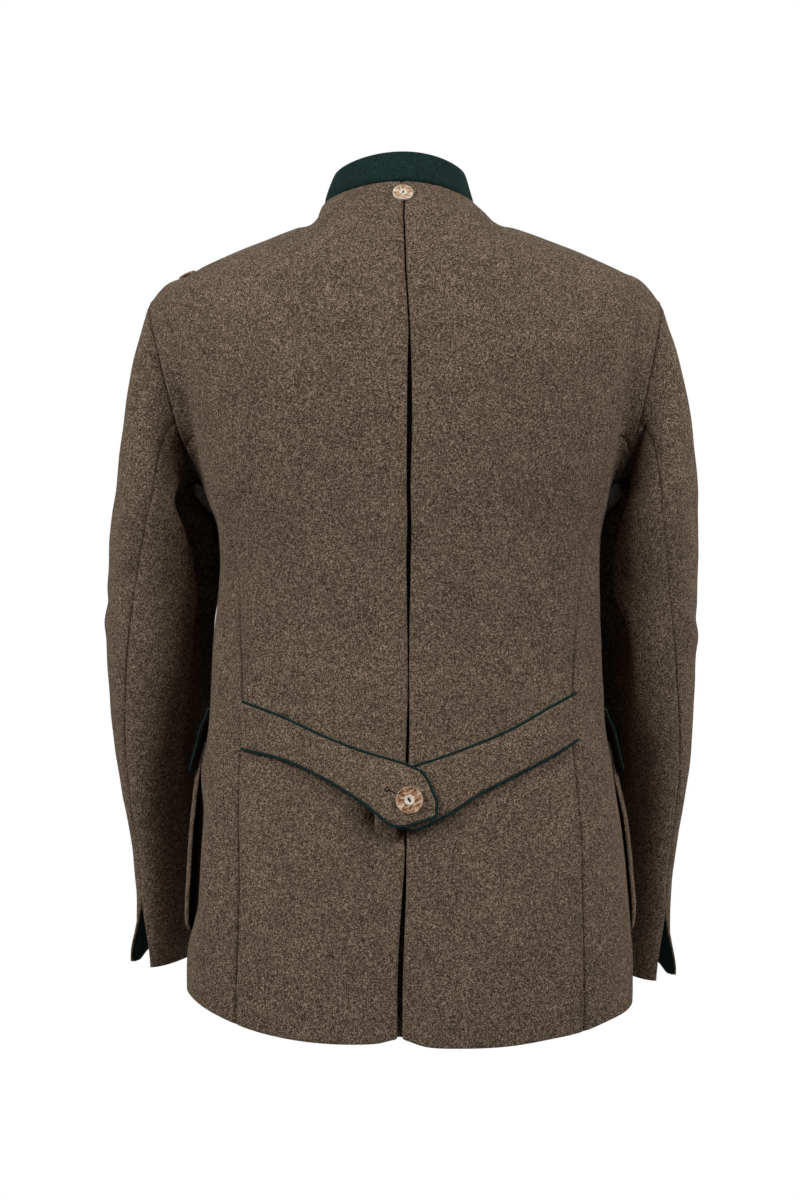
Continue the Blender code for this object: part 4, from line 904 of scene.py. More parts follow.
def cloth_piece(node, grid, thick, slot, roll, held, *rests_on):
    """A piece of cloth in the finish of its slot; what it hangs from or lies on is not used."""
    outer, out = grid
    made = shell(f"{node}_cloth", outer, out, thick, finish_of(slot), roll)
    declare(outer, node)


# ---------------------------------------------------------------- fine torso
def steps(knots, counts):
    """Values from knot to knot, each span in its own number of equal steps."""
    parts = [np.linspace(a, b, n + 1)[:-1] for a, b, n in zip(knots, knots[1:], counts)]
    return np.concatenate(parts + [[knots[-1]]])


def fine_rises():
    return steps([0, 1, 2], [BODY_STEPS, CHEST_STEPS])[:, None]


def fine_panel(g, rise, side, seams, lift=0.0):
    """A torso piece: creased, trimmed to its seams and sunk along them, with its outward directions."""
    plain, out = torso(g, rise, side), torso_out(g, rise, side)
    free = smooth((2 - rise) / TORSO_FADE)
    push = crease_push(TORSO_CREASES, side, g, plain[..., 2], HALF_GIRTH) * free
    push = push + ripple(plain) * RIPPLE * free + lift
    outer = plain + out * push[..., None]
    flip = np.array([side, 1, 1])
    top = top_out(g[-1]) * flip
    out = unit(mix(out, top[None], smooth((rise - (2 - RIM_TURN)) / RIM_TURN)[..., None]))
    along = unit(torso(g + NUDGE, rise, side) - torso(g - NUDGE, rise, side))
    outer[:, 0] += along[:, 0] * SEAM / 2
    outer[:, -1] -= along[:, -1] * SEAM / 2
    outer[-1] += top_margin(g[-1]) * flip
    outer = draw_in(outer, out, seams)
    return outer + tuck(outer, side), out


def fine_back(side):
    last = mix(SHOULDER_G, FRONT_SHOULDER_G, BACK_SEAM_STATION / ARMHOLE_STATIONS)
    top = steps([0, NECK_G, SHOULDER_G, last], BACK_COLUMNS)
    rise = fine_rises()
    g = top / top[-1] * read(BACK_SEAM, "place", rise)
    rise = rise + 0 * g
    z = torso(0 * rise[:, 0], rise[:, 0], side)[:, 2]
    gap, width = read(PLEAT, "half_gap", z), read(PLEAT, "return_width", z)
    start = girth(gap + FOLD_RADIUS, rise[:, 0])[:, None]
    g = start + g * (1 - start / g[:, -1:])
    outer, out = fine_panel(g, rise, side, {"right": 1, "top": 1})
    along, normal = unit(outer[:, 1] - outer[:, 0]), out[:, 0]
    lip, lip_out = [], []
    for share in np.linspace(1, 0, RETURN_COLUMNS)[:-1]:
        offset = girth(gap + FOLD_RADIUS + width * share, rise[:, 0])
        facing = torso_out(offset, rise[:, 0], side)
        facing[-1] = normal[-1]
        place = torso(offset, rise[:, 0], side)
        place[-1] = outer[-1, 0] + along[-1] * width[-1] * share
        lip.append(place - facing * 2 * FOLD_RADIUS)
        lip_out.append(-facing)
    centre = outer[:, 0] - normal * FOLD_RADIUS
    for angle in np.linspace(math.pi, 0, LIP_COLUMNS)[:-1]:
        way = normal * math.cos(angle) - along * math.sin(angle)
        lip.append(centre + way * FOLD_RADIUS)
        lip_out.append(way)
    outer = np.concatenate([np.stack(lip, axis=1), outer], axis=1)
    return outer, np.concatenate([np.stack(lip_out, axis=1), out], axis=1)


def fine_underlay():
    rise = fine_rises()[::2]
    z = torso(0 * rise, rise, LEFT)[..., 2]
    reach = read(PLEAT, "half_gap", z) + FOLD_RADIUS + read(PLEAT, "return_width", z)
    across = np.linspace(-1, 1, FINE_UNDERLAY_COLUMNS)[None, :]
    side = np.where(across >= 0, LEFT, RIGHT) + 0 * rise.astype(int)
    g = girth(reach * np.abs(across), rise + 0 * across)
    out = torso_out(g, rise + 0 * g, side)
    out[-1] = unit(out[-1] + np.array([0, 0, 0.15]))
    place = torso(g, rise + 0 * g, side)
    place[-1] += np.array([0, 0, UNDERLAY_TURN_UP])
    clear = mix(SEAM, UNDERLAY_TOP_CLEAR, smooth((rise - 1.5) / 0.4))
    depth = 2 * FOLD_RADIUS + clear + read(PLEAT, "bulge", z) * (1 - across**2) ** 2
    return place - out * depth[..., None], out


def fine_side(side):
    share = np.linspace(0, 1, SIDE_COLUMNS)
    rise = fine_rises()
    g = mix(read(BACK_SEAM, "place", rise), read(FRONT_SEAM, "place", rise), share)
    return fine_panel(g, rise + 0 * g, side, {"left": 1, "right": 1, "top": 1})


def front_lift(g, rise):
    """How far the left front stands off the right front, which it overlaps."""
    over = girth(FRONT_OVERLAP, rise, at=FRONT_EDGE_G)
    return FRONT_LAP * smooth((g - 1 + FRONT_LIFT_START * over) / over)


def fine_front(side):
    first = mix(SHOULDER_G, FRONT_SHOULDER_G, FRONT_SEAM_STATION / ARMHOLE_STATIONS)
    top = steps([first, FRONT_SHOULDER_G, FRONT_NECK_G, 1], FRONT_COLUMNS)
    share = (top - top[0]) / (1 - top[0])
    rise = fine_rises()
    across = np.linspace(0, 1, LAP_COLUMNS)[None, 1:]
    lap = 1 + girth(FRONT_OVERLAP, rise, at=FRONT_EDGE_G) * across
    g = np.concatenate([mix(read(FRONT_SEAM, "place", rise), 1, share), lap], axis=1)
    rise = rise + 0 * g
    lift = front_lift(g, rise) if side == LEFT else 0 * g
    return fine_panel(g, rise, side, {"left": 1, "top": 1}, lift)


def fine_collar():
    half = steps([0, 1, 1 + COLLAR_FRONT_SHARE], COLLAR_COLUMNS) * math.pi / 2
    turn = np.concatenate([-half[:0:-1], half])[None, :]
    up = np.linspace(0, 1, COLLAR_ROWS)[:, None]
    base = neckline(turn) + past_seam(neckline, turn, neck_out(turn), vectors(0, 0, 1)) * SEAM / 2
    inward = -vectors(np.sin(turn), np.cos(turn), 0)
    rise = vectors(0, 0, COLLAR_HEIGHT) + inward * COLLAR_LEAN
    outer = base + rise * up[..., None]
    standing = unit(vectors(np.sin(turn), np.cos(turn), COLLAR_TOP_TILT))
    out = unit(mix(neck_out(turn), standing, smooth(up / COLLAR_TURN)[..., None]))
    sway = read(PLEAT, "sway", outer[..., 2]) * bell(NECK_G * np.abs(turn) / (np.pi / 2), SWAY_G)
    outer[..., 0] += read(DRIFT, "torso", outer[..., 2]) + sway
    g = 1 + (np.abs(turn) / np.pi - 1) * 2 * (1 - FRONT_NECK_G)
    lift = np.where(turn > np.pi / 2, front_lift(g, np.full(g.shape, 2.0)), 0)
    outer = outer + neck_out(turn) * lift[..., None]
    outer = outer + out * (COLLAR_SWELL * (1 - (2 * up - 1) ** 4))[..., None]
    return draw_in(outer, out, {"bottom": 1}), out


# ---------------------------------------------------------------- fine sleeves
# From where round the sleeve its places count below 0, on the front.
FRONT_WRAP = 0.27
# How the vent's edge turns outwards, past the wide flare beside it, and how soon each sets in.
VENT_FLARE_PACE, VENT_TURN_PACE = 1.5, 0.7
VENT_TURN, VENT_TURN_WIDTH = (5.5 * MM, 0.0, 1.0 * MM), 0.028


def fine_falls():
    return steps([0, 1, 2], [HEAD_STEPS, ARM_STEPS])[:, None]


def vent_share(fall):
    return smooth((fall - VENT_FALL) / (2 - VENT_FALL))


def vent_flare(u, fall, side):
    """How the upper sleeve turns outwards at the edge of its vent."""
    past, share = u - read(HIND_SEAM, "place", fall), vent_share(fall)
    wide = np.array(VENT_FLARE) * (bell(past, VENT_FLARE_WIDTH) * share**VENT_FLARE_PACE)[..., None]
    crisp = np.array(VENT_TURN) * (bell(past, VENT_TURN_WIDTH) * share**VENT_TURN_PACE)[..., None]
    return (wide + crisp) * np.array([side, 1, 1])


def fine_sleeve(u, fall, side):
    plain, out = sleeve(u, fall, side), sleeve_out(u, fall, side)
    free = smooth(fall / SLEEVE_FADE)
    around = np.mod(u + FRONT_WRAP, 1) - FRONT_WRAP
    push = crease_push(SLEEVE_CREASES, side, around, plain[..., 2], SLEEVE_GIRTH) * free
    away = smooth(fall / TUCK_FALL)
    push = push + underarm_fold(side, around, plain[..., 2]) * away
    outer = plain + out * (push + ripple(plain) * RIPPLE * free)[..., None]
    turn = 2 * np.pi * u[0]
    flip = np.array([side, 1, 1])
    rim = armhole_out(turn) * flip
    out = unit(mix(out, rim[None], smooth((HEAD_TURN - fall) / HEAD_TURN)[..., None]))
    along = unit(sleeve(u + NUDGE, fall, side) - sleeve(u - NUDGE, fall, side))
    first = np.sign(u[0, 1] - u[0, 0])
    outer[:, 0] += along[:, 0] * first * SEAM / 2
    outer[:, -1] -= along[:, -1] * first * SEAM / 2
    outer[0] += past_seam(armhole, turn, armhole_out(turn), sleeve_leave(turn)) * flip * SEAM / 2
    closed = (fall[:, 0] <= VENT_FALL).astype(float)
    outer = draw_in(outer, out, {"left": closed, "right": 1, "bottom": 1})
    return outer + tuck(outer, side) * (1 - away)[..., None], out


def fine_upper_sleeve(side):
    fall = fine_falls()
    hind = read(HIND_SEAM, "place", fall)
    fore = (FORE_SEAM_STATION - ARMHOLE_STATIONS) / ARMHOLE_STATIONS
    back = np.linspace(1, 0, UPPER_COLUMNS[0])[None, :]
    front = np.linspace(0, 1, UPPER_COLUMNS[1])[None, 1:]
    u = np.concatenate([hind * back, fore * front + 0 * hind], axis=1)
    fall = fall + 0 * u
    outer, out = fine_sleeve(u, fall, side)
    return outer + vent_flare(u, fall, side), out


def fine_under_sleeve(side):
    fall = fine_falls()
    hind = read(HIND_SEAM, "place", fall) + VENT_OPEN_U * vent_share(fall)
    u = mix(hind, FORE_SEAM_STATION / ARMHOLE_STATIONS, np.linspace(0, 1, UNDER_COLUMNS))
    return fine_sleeve(u, fall + 0 * u, side)


def fine_facing(side):
    fall = np.linspace(1 + (SLEEVE_ROWS - FACING_ROWS + 1) / SLEEVE_ROWS, 2, FACING_GRID)[:, None]
    reach = 1 - (FACING_COLUMNS - 1) / HIND_SEAM_STATION
    u = read(HIND_SEAM, "place", fall) * np.linspace(1, reach, FACING_GRID)
    fall = fall + 0 * u
    out = sleeve_out(u, fall, side)
    outer = sleeve(u, fall, side) + vent_flare(u, fall, side)
    return outer - out * (CLOTH + SEAM), out


# ---------------------------------------------------------------- fine belt, pockets and flaps
def belt_place(x, z, lift):
    """A point of the belt's outer face and its outward direction."""
    g, rise, side = spot_on_back(x, z)
    out = torso_out(g, rise, side)
    return torso(g, rise, side) + out * (lift + BELT_CLOTH)[..., None], out


def belt_sag(x, z):
    """How far the middle of the belt hangs away from the back, most at its lower edge."""
    down = np.clip((BELT_SAG_TOP - z) / BELT_SAG_HEIGHT, 0, 1)
    return BELT_SAG * bell(x - BELT_SAG_X, BELT_SAG_WIDTH) * down


def fine_belt(side):
    columns = BELT_COLUMNS[side]
    at = np.linspace(0, 1, BELT_GRID[1]) ** BELT_SPACING[side]
    x = mix(columns[0].x, columns[-1].x, at)
    top, bottom, lift = (read(columns, name, x) for name in ("top", "bottom", "lift"))
    share = np.linspace(0, 1, BELT_GRID[0])[:, None]
    z = mix(bottom, top, share)
    outer, out = belt_place(x + 0 * z, z, lift + belt_sag(x, z))
    crown = BELT_CROWN * (1 - (2 * share - 1) ** 4)
    return outer + out * crown[..., None], out


def border_points(outer, out, thickness, open_edge, gap):
    """A path round a wall's border, but for one edge, clear of it by a gap, with its frame."""
    middle = outer - out * thickness / 2
    order = {
        "right": lambda p: [p[0, ::-1], p[1:, 0], p[-1, 1:]],
        "left": lambda p: [p[0, :], p[1:, -1], p[-1, -2::-1]],
        "top": lambda p: [p[::-1, 0], p[0, 1:], p[1:, -1]],
    }[open_edge]
    path, facing = np.concatenate(order(middle)), np.concatenate(order(out))
    keep = np.concatenate([[True], np.linalg.norm(np.diff(path, axis=0), axis=-1) > 1e-6])
    path, facing = path[keep], facing[keep]
    along = unit(path[1:] - path[:-1])
    side = unit(np.cross(along, facing[1:] + facing[:-1]))
    centre = middle[middle.shape[0] // 2, middle.shape[1] // 2]
    side *= np.sign(np.sum(side * (path[1:] - centre), axis=-1).sum())
    before, after = np.concatenate([side[:1], side]), np.concatenate([side, side[-1:]])
    spread = (before + after) / (1 + np.sum(before * after, axis=-1, keepdims=True))
    return path + gap * spread, spread, facing


def piping_cord(node, path, spread, facing):
    """A round wool cord along a path, its rings mitred at the corners and its ends closed."""
    angles = np.linspace(0, 2 * np.pi, CORD_SIDES, endpoint=False)[None, :, None]
    ring = np.cos(angles) * spread[:, None] + np.sin(angles) * facing[:, None]
    rings = path[:, None] + PIPING_RADIUS * CORD_FULLNESS * ring
    count = len(path)
    faces = []
    for k in range(count - 1):
        for j in range(CORD_SIDES):
            after = (j + 1) % CORD_SIDES
            low, high = k * CORD_SIDES, (k + 1) * CORD_SIDES
            faces.append((low + j, low + after, high + after, high + j))
    faces.append(tuple(range(CORD_SIDES)))
    faces.append(tuple(range((count - 1) * CORD_SIDES, count * CORD_SIDES)))
    slot = "green_wool"
    made = finish_mesh(f"{node}_cord", rings.reshape(-1, 3), faces, finish_of(slot))
    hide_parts(node)


def rounded(distance, radius):
    """How far a side edge draws in at a distance from the bottom edge, for a round corner."""
    short = np.clip(radius - distance, 0, radius)
    return radius - np.sqrt(radius**2 - short**2)


def pocket_grid(girths, heights, corner, side, rows, columns):
    """Girths, rises and distances to the side edges of a piece on the front, with round corners."""
    down = heights[0] + (heights[1] - heights[0]) * np.linspace(0, 1, rows) ** 1.5
    share = np.linspace(0, 1, columns)
    share = mix(share, smooth(share), 0.6)
    z = down[:, None]
    middle, half = (girths[0] + girths[1]) / 2, (girths[1] - girths[0]) / 2
    rise = rise_at(z, middle, side)
    shrink = girth(rounded(z - heights[0], corner), rise, at=middle)
    g = middle + (half - shrink) * (2 * share - 1)
    wide = (half - shrink) / girth(1.0, rise, at=middle)
    edge = wide * (1 - np.abs(2 * share - 1))
    return g, rise_at(z + 0 * g, g, side), edge, z - heights[0] + 0 * g


def laid_on_front(g, rise, side, stand):
    """A piece that stands off the front by a distance, and follows its creases."""
    plain, out = torso(g, rise, side), torso_out(g, rise, side)
    push = stand + crease_push(TORSO_CREASES, side, g, plain[..., 2], HALF_GIRTH) + ripple(plain) * RIPPLE
    return plain + out * push[..., None], out


def fine_pocket(side):
    g, rise, edge, bottom = pocket_grid(POCKET_G, POCKET_Z, POCKET_CORNER, side, *POCKET_GRID)
    near = np.minimum(edge, bottom)
    stand = mix(CLOTH + POCKET_CLEAR, POCKET_STAND, smooth(near / POCKET_BELLOWS))
    return laid_on_front(g, rise, side, stand)


def fine_flap(side):
    g, rise, edge, bottom = pocket_grid(FLAP_G, FLAP_Z, FLAP_CORNER, side, *FLAP_GRID)
    down = 1 - bottom / (FLAP_Z[1] - FLAP_Z[0])
    stand = mix(CLOTH + LAID_CLEAR, FLAP_STAND, smooth(down / FLAP_RISE)) + FLAP_FLARE * down**2
    return laid_on_front(g, rise, side, stand)


# ---------------------------------------------------------------- button places
def belt_button_place():
    columns = BELT_COLUMNS[LEFT]
    lift = np.interp(BELT_BUTTON_X, [c.x for c in columns], [c.lift for c in columns])
    x, z = np.array([BELT_BUTTON_X]), np.array([BELT_BUTTON_Z])
    return belt_place(x, z, lift + BELT_CROWN + belt_sag(x, z))


def neck_button_place():
    """The spot on the pleat's fold edges, which bend a little away from its centre line."""
    rise = np.array([NECK_BUTTON_RISE])
    zero = np.zeros(1)
    out = torso_out(zero, rise, np.array([LEFT]))
    return torso(zero, rise, LEFT) - out * NECK_BUTTON_SINK, out


def shoulder_button_place():
    share = np.array([(SHOULDER_BUTTON_X - SHOULDER[0].x) / (SHOULDER[-1].x - SHOULDER[0].x)])
    along = tangent(shoulder, share)
    out = unit(vectors(-along[..., 2], 0, along[..., 0]))
    place = shoulder(share) + out * SHOULDER_BUTTON_CLEAR
    place[..., 0] += read(DRIFT, "torso", place[..., 2])
    return place, out


def front_button_place(number):
    rises = np.linspace(*FRONT_BUTTON_RISES, 400)
    heights = torso(np.ones(rises.shape), rises, LEFT)[:, 2]
    rise = np.interp([FRONT_BUTTON_Z - number * FRONT_BUTTON_PITCH], heights, rises)
    out = torso_out(np.ones(1), rise, np.array([LEFT]))
    return torso(np.ones(1), rise, LEFT) + out * (FRONT_LAP + FRONT_BUTTON_CLEAR), out


# ---------------------------------------------------------------- turned buttons
# The face of a button from its rim to its middle: how far each inset goes in, in radii, and up, in
# thicknesses.
FACE_STEPS = [(0.04, 0.05), (0.05, -0.05), (0.26, -0.05), (0.24, -0.02), (0.03, 0.12), (0.03, 0.04),
              (0.08, 0.0), (0.03, -0.08), (0.08, -0.06)]
BLANK_SIDES, BLANK_HEIGHT, BLANK_MIDDLE = 72, 0.62, 0.31
WORN_EDGE, WORN_STEPS, WORN_ANGLE, SMOOTH_ANGLE = 0.28 * MM, 3, 24, 40


def turned_button(node, size, spot, finish, slot_turn):
    """An antler disc: dished face, raised ring and rounded rim; its slot is not cut but painted dark by its
    finish, for its thread and as painted shade of its hollow.
    """
    bpy.ops.object.select_all(action="DESELECT")
    bpy.ops.mesh.primitive_cylinder_add(vertices=BLANK_SIDES, radius=size.radius,
                                        depth=size.thick * BLANK_HEIGHT,
                                        location=(0, 0, size.thick * BLANK_MIDDLE + SEAM))
    made = bpy.context.object
    made.name = made.data.name = f"{node}_antler"
    bpy.ops.object.transform_apply(location=True, rotation=False, scale=False)
    bpy.ops.object.mode_set(mode="EDIT")
    bpy.ops.mesh.select_mode(type="FACE")
    bpy.ops.mesh.select_all(action="DESELECT")
    bm = bmesh.from_edit_mesh(made.data)
    for face in bm.faces:
        face.select_set(face.normal.z > 0.9)
    bmesh.update_edit_mesh(made.data)
    for inset, lift in FACE_STEPS:
        bpy.ops.mesh.inset(thickness=inset * size.radius, depth=lift * size.thick)
    bpy.ops.object.mode_set(mode="OBJECT")
    bevel = made.modifiers.new("Worn edges", "BEVEL")
    bevel.width, bevel.segments, bevel.limit_method = WORN_EDGE, WORN_STEPS, "ANGLE"
    bevel.angle_limit = math.radians(WORN_ANGLE)
    bpy.ops.object.modifier_apply(modifier=bevel.name)
    bpy.ops.object.shade_smooth_by_angle(angle=math.radians(SMOOTH_ANGLE))
    local = np.array([v.co for v in made.data.vertices])
    turned = made.data.attributes.new("turned", "FLOAT_VECTOR", "POINT")
    turned.data.foreach_set("vector", (local / size.radius).astype(np.float32).ravel())
    place, out = spot
    turn = Vector((0, 0, 1)).rotation_difference(Vector(out[0])).to_matrix().to_4x4()
    spin = Matrix.Rotation(slot_turn, 4, "Z")
    made.data.transform(Matrix.Translation(Vector(place[0])) @ turn @ spin)
    made.data.materials.append(finish_of(finish))
    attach(made, "root")
    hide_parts(node)


# ---------------------------------------------------------------- shading
class Wire:
    """A number from a shader's socket, on which Python's arithmetic adds Math nodes."""

    def __init__(self, tree, socket):
        self.tree, self.socket = tree, socket

    def maths(self, operation, first, second=None):
        node = self.tree.nodes.new("ShaderNodeMath")
        node.operation = operation
        for place, value in enumerate((first, second)):
            if isinstance(value, Wire):
                self.tree.links.new(value.socket, node.inputs[place])
            elif value is not None:
                node.inputs[place].default_value = value
        return Wire(self.tree, node.outputs[0])

    def __add__(self, other):
        return self.maths("ADD", self, other)

    def __sub__(self, other):
        return self.maths("SUBTRACT", self, other)

    def __rsub__(self, other):
        return self.maths("SUBTRACT", other, self)

    def __mul__(self, other):
        return self.maths("MULTIPLY", self, other)

    def __truediv__(self, other):
        return self.maths("DIVIDE", self, other)

    def __pow__(self, other):
        return self.maths("POWER", self, other)

    def __abs__(self):
        return self.maths("ABSOLUTE", self)

    def at_most(self, other):
        return self.maths("MINIMUM", self, other)

    def at_least(self, other):
        return self.maths("MAXIMUM", self, other)

    def above(self, edge, soft):
        """0 below an edge and 1 above it, over a soft width."""
        ramp = (self - (edge - soft / 2)) / soft
        return ramp.at_least(0.0).at_most(1.0)

    __radd__, __rmul__ = __add__, __mul__


class Finish:
    """A material and its nodes."""

    def __init__(self, name, **constants):
        self.material = bpy.data.materials.new(name)
        self.material.use_nodes = True
        self.tree = self.material.node_tree
        self.shader = self.tree.nodes["Principled BSDF"]
        for socket, value in constants.items():
            self.shader.inputs[socket.replace("_", " ")].default_value = value

    def node(self, kind, settings=None, output=0, **sockets):
        """A node of a kind, its settings made first, then its sockets given values or links."""
        made = self.tree.nodes.new(kind)
        for key, value in (settings or {}).items():
            if key == "stops":
                while len(made.color_ramp.elements) < len(value):
                    made.color_ramp.elements.new(0.5)
                for element, (place, color) in zip(made.color_ramp.elements, value):
                    element.position, element.color = place, color
            else:
                setattr(made, key, value)
        for key, value in sockets.items():
            socket = made.inputs[int(key[1:])] if key[0] == "n" and key[1:].isdigit() else made.inputs[key]
            if isinstance(value, Wire):
                self.tree.links.new(value.socket, socket)
            else:
                socket.default_value = value
        return Wire(self.tree, made.outputs[output])

    def noise(self, place, scale, detail=2.0, roughness=0.5, distortion=0.0):
        return self.node("ShaderNodeTexNoise", {"noise_dimensions": "3D"}, 0, Vector=place, Scale=scale,
                         Detail=detail, Roughness=roughness, Distortion=distortion)

    def stretched(self, place, scale, turn=(0, 0, 0)):
        return self.node("ShaderNodeMapping", None, 0, Vector=place, Scale=scale, Rotation=turn)

    def blend(self, factor, first, second):
        return self.node("ShaderNodeMix", {"data_type": "RGBA"}, 2, n0=factor, n6=first, n7=second)

    def into(self, **sockets):
        for socket, wire in sockets.items():
            self.tree.links.new(wire.socket, self.shader.inputs[socket.replace("_", " ")])

    def bump(self, height, distance, strength=1.0):
        self.into(Normal=self.node("ShaderNodeBump", None, 0, Height=height, Distance=distance,
                                   Strength=strength))


def rgb(color, light=1.0):
    return (color[0] * light, color[1] * light, color[2] * light, 1.0)


# Layers of strands in the wool: how each is turned and squeezed, and how closely it is packed, per metre.
STRAND_LAYERS = [((0.2, 0.3, 0.0), (1.0, 1.0, 0.55), 620), ((0.1, 0.5, 0.9), (0.6, 0.8, 1.0), 560)]


def felted(name, dark, middle, light, grain, nap, cloud=0.5, contrast=1.0, sheen=0.04, rough=0.95):
    """Milled wool: curled light strands over mixed fibres, soft clouds of wear, and a raised nap."""
    made = Finish(name, Roughness=rough, Sheen_Weight=sheen, Sheen_Roughness=0.55)
    made.shader.inputs["Sheen Tint"].default_value = rgb(light)
    made.shader.inputs["Specular IOR Level"].default_value = 0.12
    place = made.node("ShaderNodeTexCoord", None, 3)
    strands = 0.0
    for turn, squeeze, size in STRAND_LAYERS:
        field = made.noise(made.stretched(place, squeeze, turn), size / grain, 2, 0.55, 1.4)
        strands = (1.0 - abs(field - 0.5) * 11.0).at_least(0.0) + strands
    fleck = made.noise(place, 1050 / grain, 3, 0.7)
    clump = made.noise(place, 450 / grain, 2, 0.6)
    fine = made.noise(place, 2000 / grain, 2, 0.6)
    fibres = (fleck - 0.5) * 3.3 + (clump - 0.5) * 1.0 + (fine - 0.5) * 1.2 + (strands - 0.62) * 0.34
    tone = (fibres * contrast + 0.38).at_least(0.0).at_most(1.0)
    clouds = made.noise(place, 26, 3, 0.6)
    mottle = made.noise(place, 120, 3, 0.65)
    stops = [(0.0, rgb(dark)), (0.5, rgb(middle)), (1.0, rgb(light))]
    base = made.node("ShaderNodeValToRGB", {"stops": stops}, 0, Fac=tone)
    shade = (clouds - 0.5) * cloud + (mottle - 0.5) * cloud * 0.9 + 1.0
    wear = made.node("ShaderNodeCombineXYZ", None, 0, X=shade, Y=shade, Z=shade)
    color = made.node("ShaderNodeMix", {"data_type": "RGBA", "blend_type": "MULTIPLY"}, 2,
                      n0=1.0, n6=base, n7=wear)
    made.into(Base_Color=color)
    made.bump(tone + mottle * 0.6, nap, 0.6)
    return made.material


# The colours of antler bark, from its dark furrows to its pale ridges.
BARK = [(0.36, (0.060, 0.022, 0.010, 1)), (0.44, (0.20, 0.085, 0.035, 1)), (0.50, (0.40, 0.20, 0.10, 1)),
        (0.58, (0.62, 0.44, 0.30, 1)), (0.68, (0.80, 0.72, 0.60, 1))]


def antler_finish(name, pale=0.0, cream_rim=1.0):
    """A slice of antler: pale rim and core, streaked brown bark between them, and a slot painted near black,
    partly for its dark thread and partly as painted shade of its hollow.
    """
    made = Finish(name, Coat_Roughness=0.25)
    made.shader.inputs["Coat Weight"].default_value = 0.25
    place = made.node("ShaderNodeAttribute", {"attribute_name": "turned"}, 1)
    flat = made.node("ShaderNodeVectorMath", {"operation": "MULTIPLY"}, 0, n0=place, n1=(1, 1, 0))
    radius = made.node("ShaderNodeVectorMath", {"operation": "LENGTH"}, 1, n0=flat)
    streaks = made.noise(made.stretched(place, (5.5, 1.5, 1.0), (0, 0, 0.9)), 1.3, 4, 0.6, 0.7)
    grain = made.noise(place, 4.5, 4, 0.62, 0.8)
    fine = made.noise(place, 11.0, 4, 0.6)
    tone = (streaks * 0.55 + grain * 0.35 + fine * 0.10 - 0.5) * 1.35 + 0.5 + pale
    bark = made.node("ShaderNodeValToRGB", {"stops": BARK}, 0, Fac=tone)
    cream = made.blend(fine, (0.66, 0.56, 0.42, 1), (0.88, 0.83, 0.74, 1))
    edge = (radius + (grain - 0.5) * 0.14).above(0.93, 0.05) * cream_rim
    core = 1 - (radius + (fine - 0.5) * 0.05).above(0.37, 0.04)
    # The slot is painted near black on the flat face: partly its dark thread, partly painted shade standing
    # in for a hollow that the mesh does not have.
    slot = made.node("ShaderNodeVectorMath", {"operation": "MULTIPLY"}, 0, n0=place, n1=(4.6, 11.0, 0))
    slot_thread_and_shade = 1 - made.node("ShaderNodeVectorMath", {"operation": "LENGTH"}, 1, n0=slot).above(1.0, 0.3)
    color = made.blend(slot_thread_and_shade, made.blend(edge.at_least(core), bark, cream), (0.012, 0.008, 0.006, 1))
    made.into(Base_Color=color, Roughness=grain * 0.3 + 0.25)
    made.bump(streaks + fine * 0.5, 0.25 * MM, 0.5)
    return made.material


def plain_floor(color):
    made = Finish("Studio floor", Roughness=0.9)
    place = made.node("ShaderNodeTexCoord", None, 3)
    made.into(Base_Color=made.blend(made.noise(place, 1.5, 2), rgb(color, 0.99), rgb(color)))
    return made.material


MATERIALS = {}


def finish_of(name):
    """Each finish is made once, from the colours of the panel."""
    look = bpy.context.scene.jacket
    if name not in MATERIALS:
        makers = {
            "loden": lambda: felted("Loden", look.dark_fibre, look.loden, look.light_fibre, look.fibre_size,
                                    look.nap * MM, contrast=1.2),
            "green_wool": lambda: felted("Green wool", look.green_dark, look.green, look.green_light, 0.9,
                                         0.35 * MM, cloud=0.35),
            "antler": lambda: antler_finish("Antler", cream_rim=0.25),
            "pale_antler": lambda: antler_finish("Pale antler", pale=0.05),
            "dark_antler": lambda: antler_finish("Dark antler", pale=-0.11, cream_rim=0.0),
            "thread": lambda: felted("Thread", (0.004, 0.003, 0.002), (0.012, 0.008, 0.006),
                                     (0.030, 0.020, 0.014), 0.4, 0.1 * MM),
        }
        MATERIALS[name] = makers[name]()
    return MATERIALS[name]


# ---------------------------------------------------------------- sizes and colours
def color_property(label, text, default):
    return bpy.props.FloatVectorProperty(name=label, description=text, subtype="COLOR", size=3, min=0, max=1,
                                         default=default)


class JacketLook(bpy.types.PropertyGroup):
    loden: color_property("Loden", "Mean colour of the brown wool", (0.092, 0.061, 0.039))
    dark_fibre: color_property("Dark fibres", "Colour of the darkest fibres", (0.042, 0.027, 0.016))
    light_fibre: color_property("Light fibres", "Colour of the palest fibres", (0.400, 0.305, 0.222))
    fibre_size: bpy.props.FloatProperty(name="Fibre size", description="Scale of the wool's grain",
                                        default=1.0, min=0.3, max=4)
    nap: bpy.props.FloatProperty(name="Nap", description="Height of the raised nap in millimetres",
                                 default=0.5, min=0, max=2)
    green: color_property("Green wool", "Mean colour of the collar, piping and cuff felt",
                          (0.0085, 0.026, 0.023))
    green_dark: color_property("Dark green fibres", "Colour of the darkest green fibres",
                               (0.004, 0.013, 0.012))
    green_light: color_property("Light green fibres", "Colour of the palest green fibres",
                                (0.021, 0.052, 0.046))
    floor: color_property("Floor", "Colour of the studio floor", (0.90, 0.90, 0.90))
    key_light: bpy.props.FloatProperty(name="Key light", description="Power of the left soft box",
                                       default=62, min=0, unit="POWER")
    ambient: bpy.props.FloatProperty(name="Ambient light", description="Strength of the light all round",
                                     default=0.02, min=0, max=2)


# ---------------------------------------------------------------- operators
class Making(bpy.types.Operator):
    """Common to the steps: each can be undone."""

    bl_options = {"REGISTER", "UNDO"}


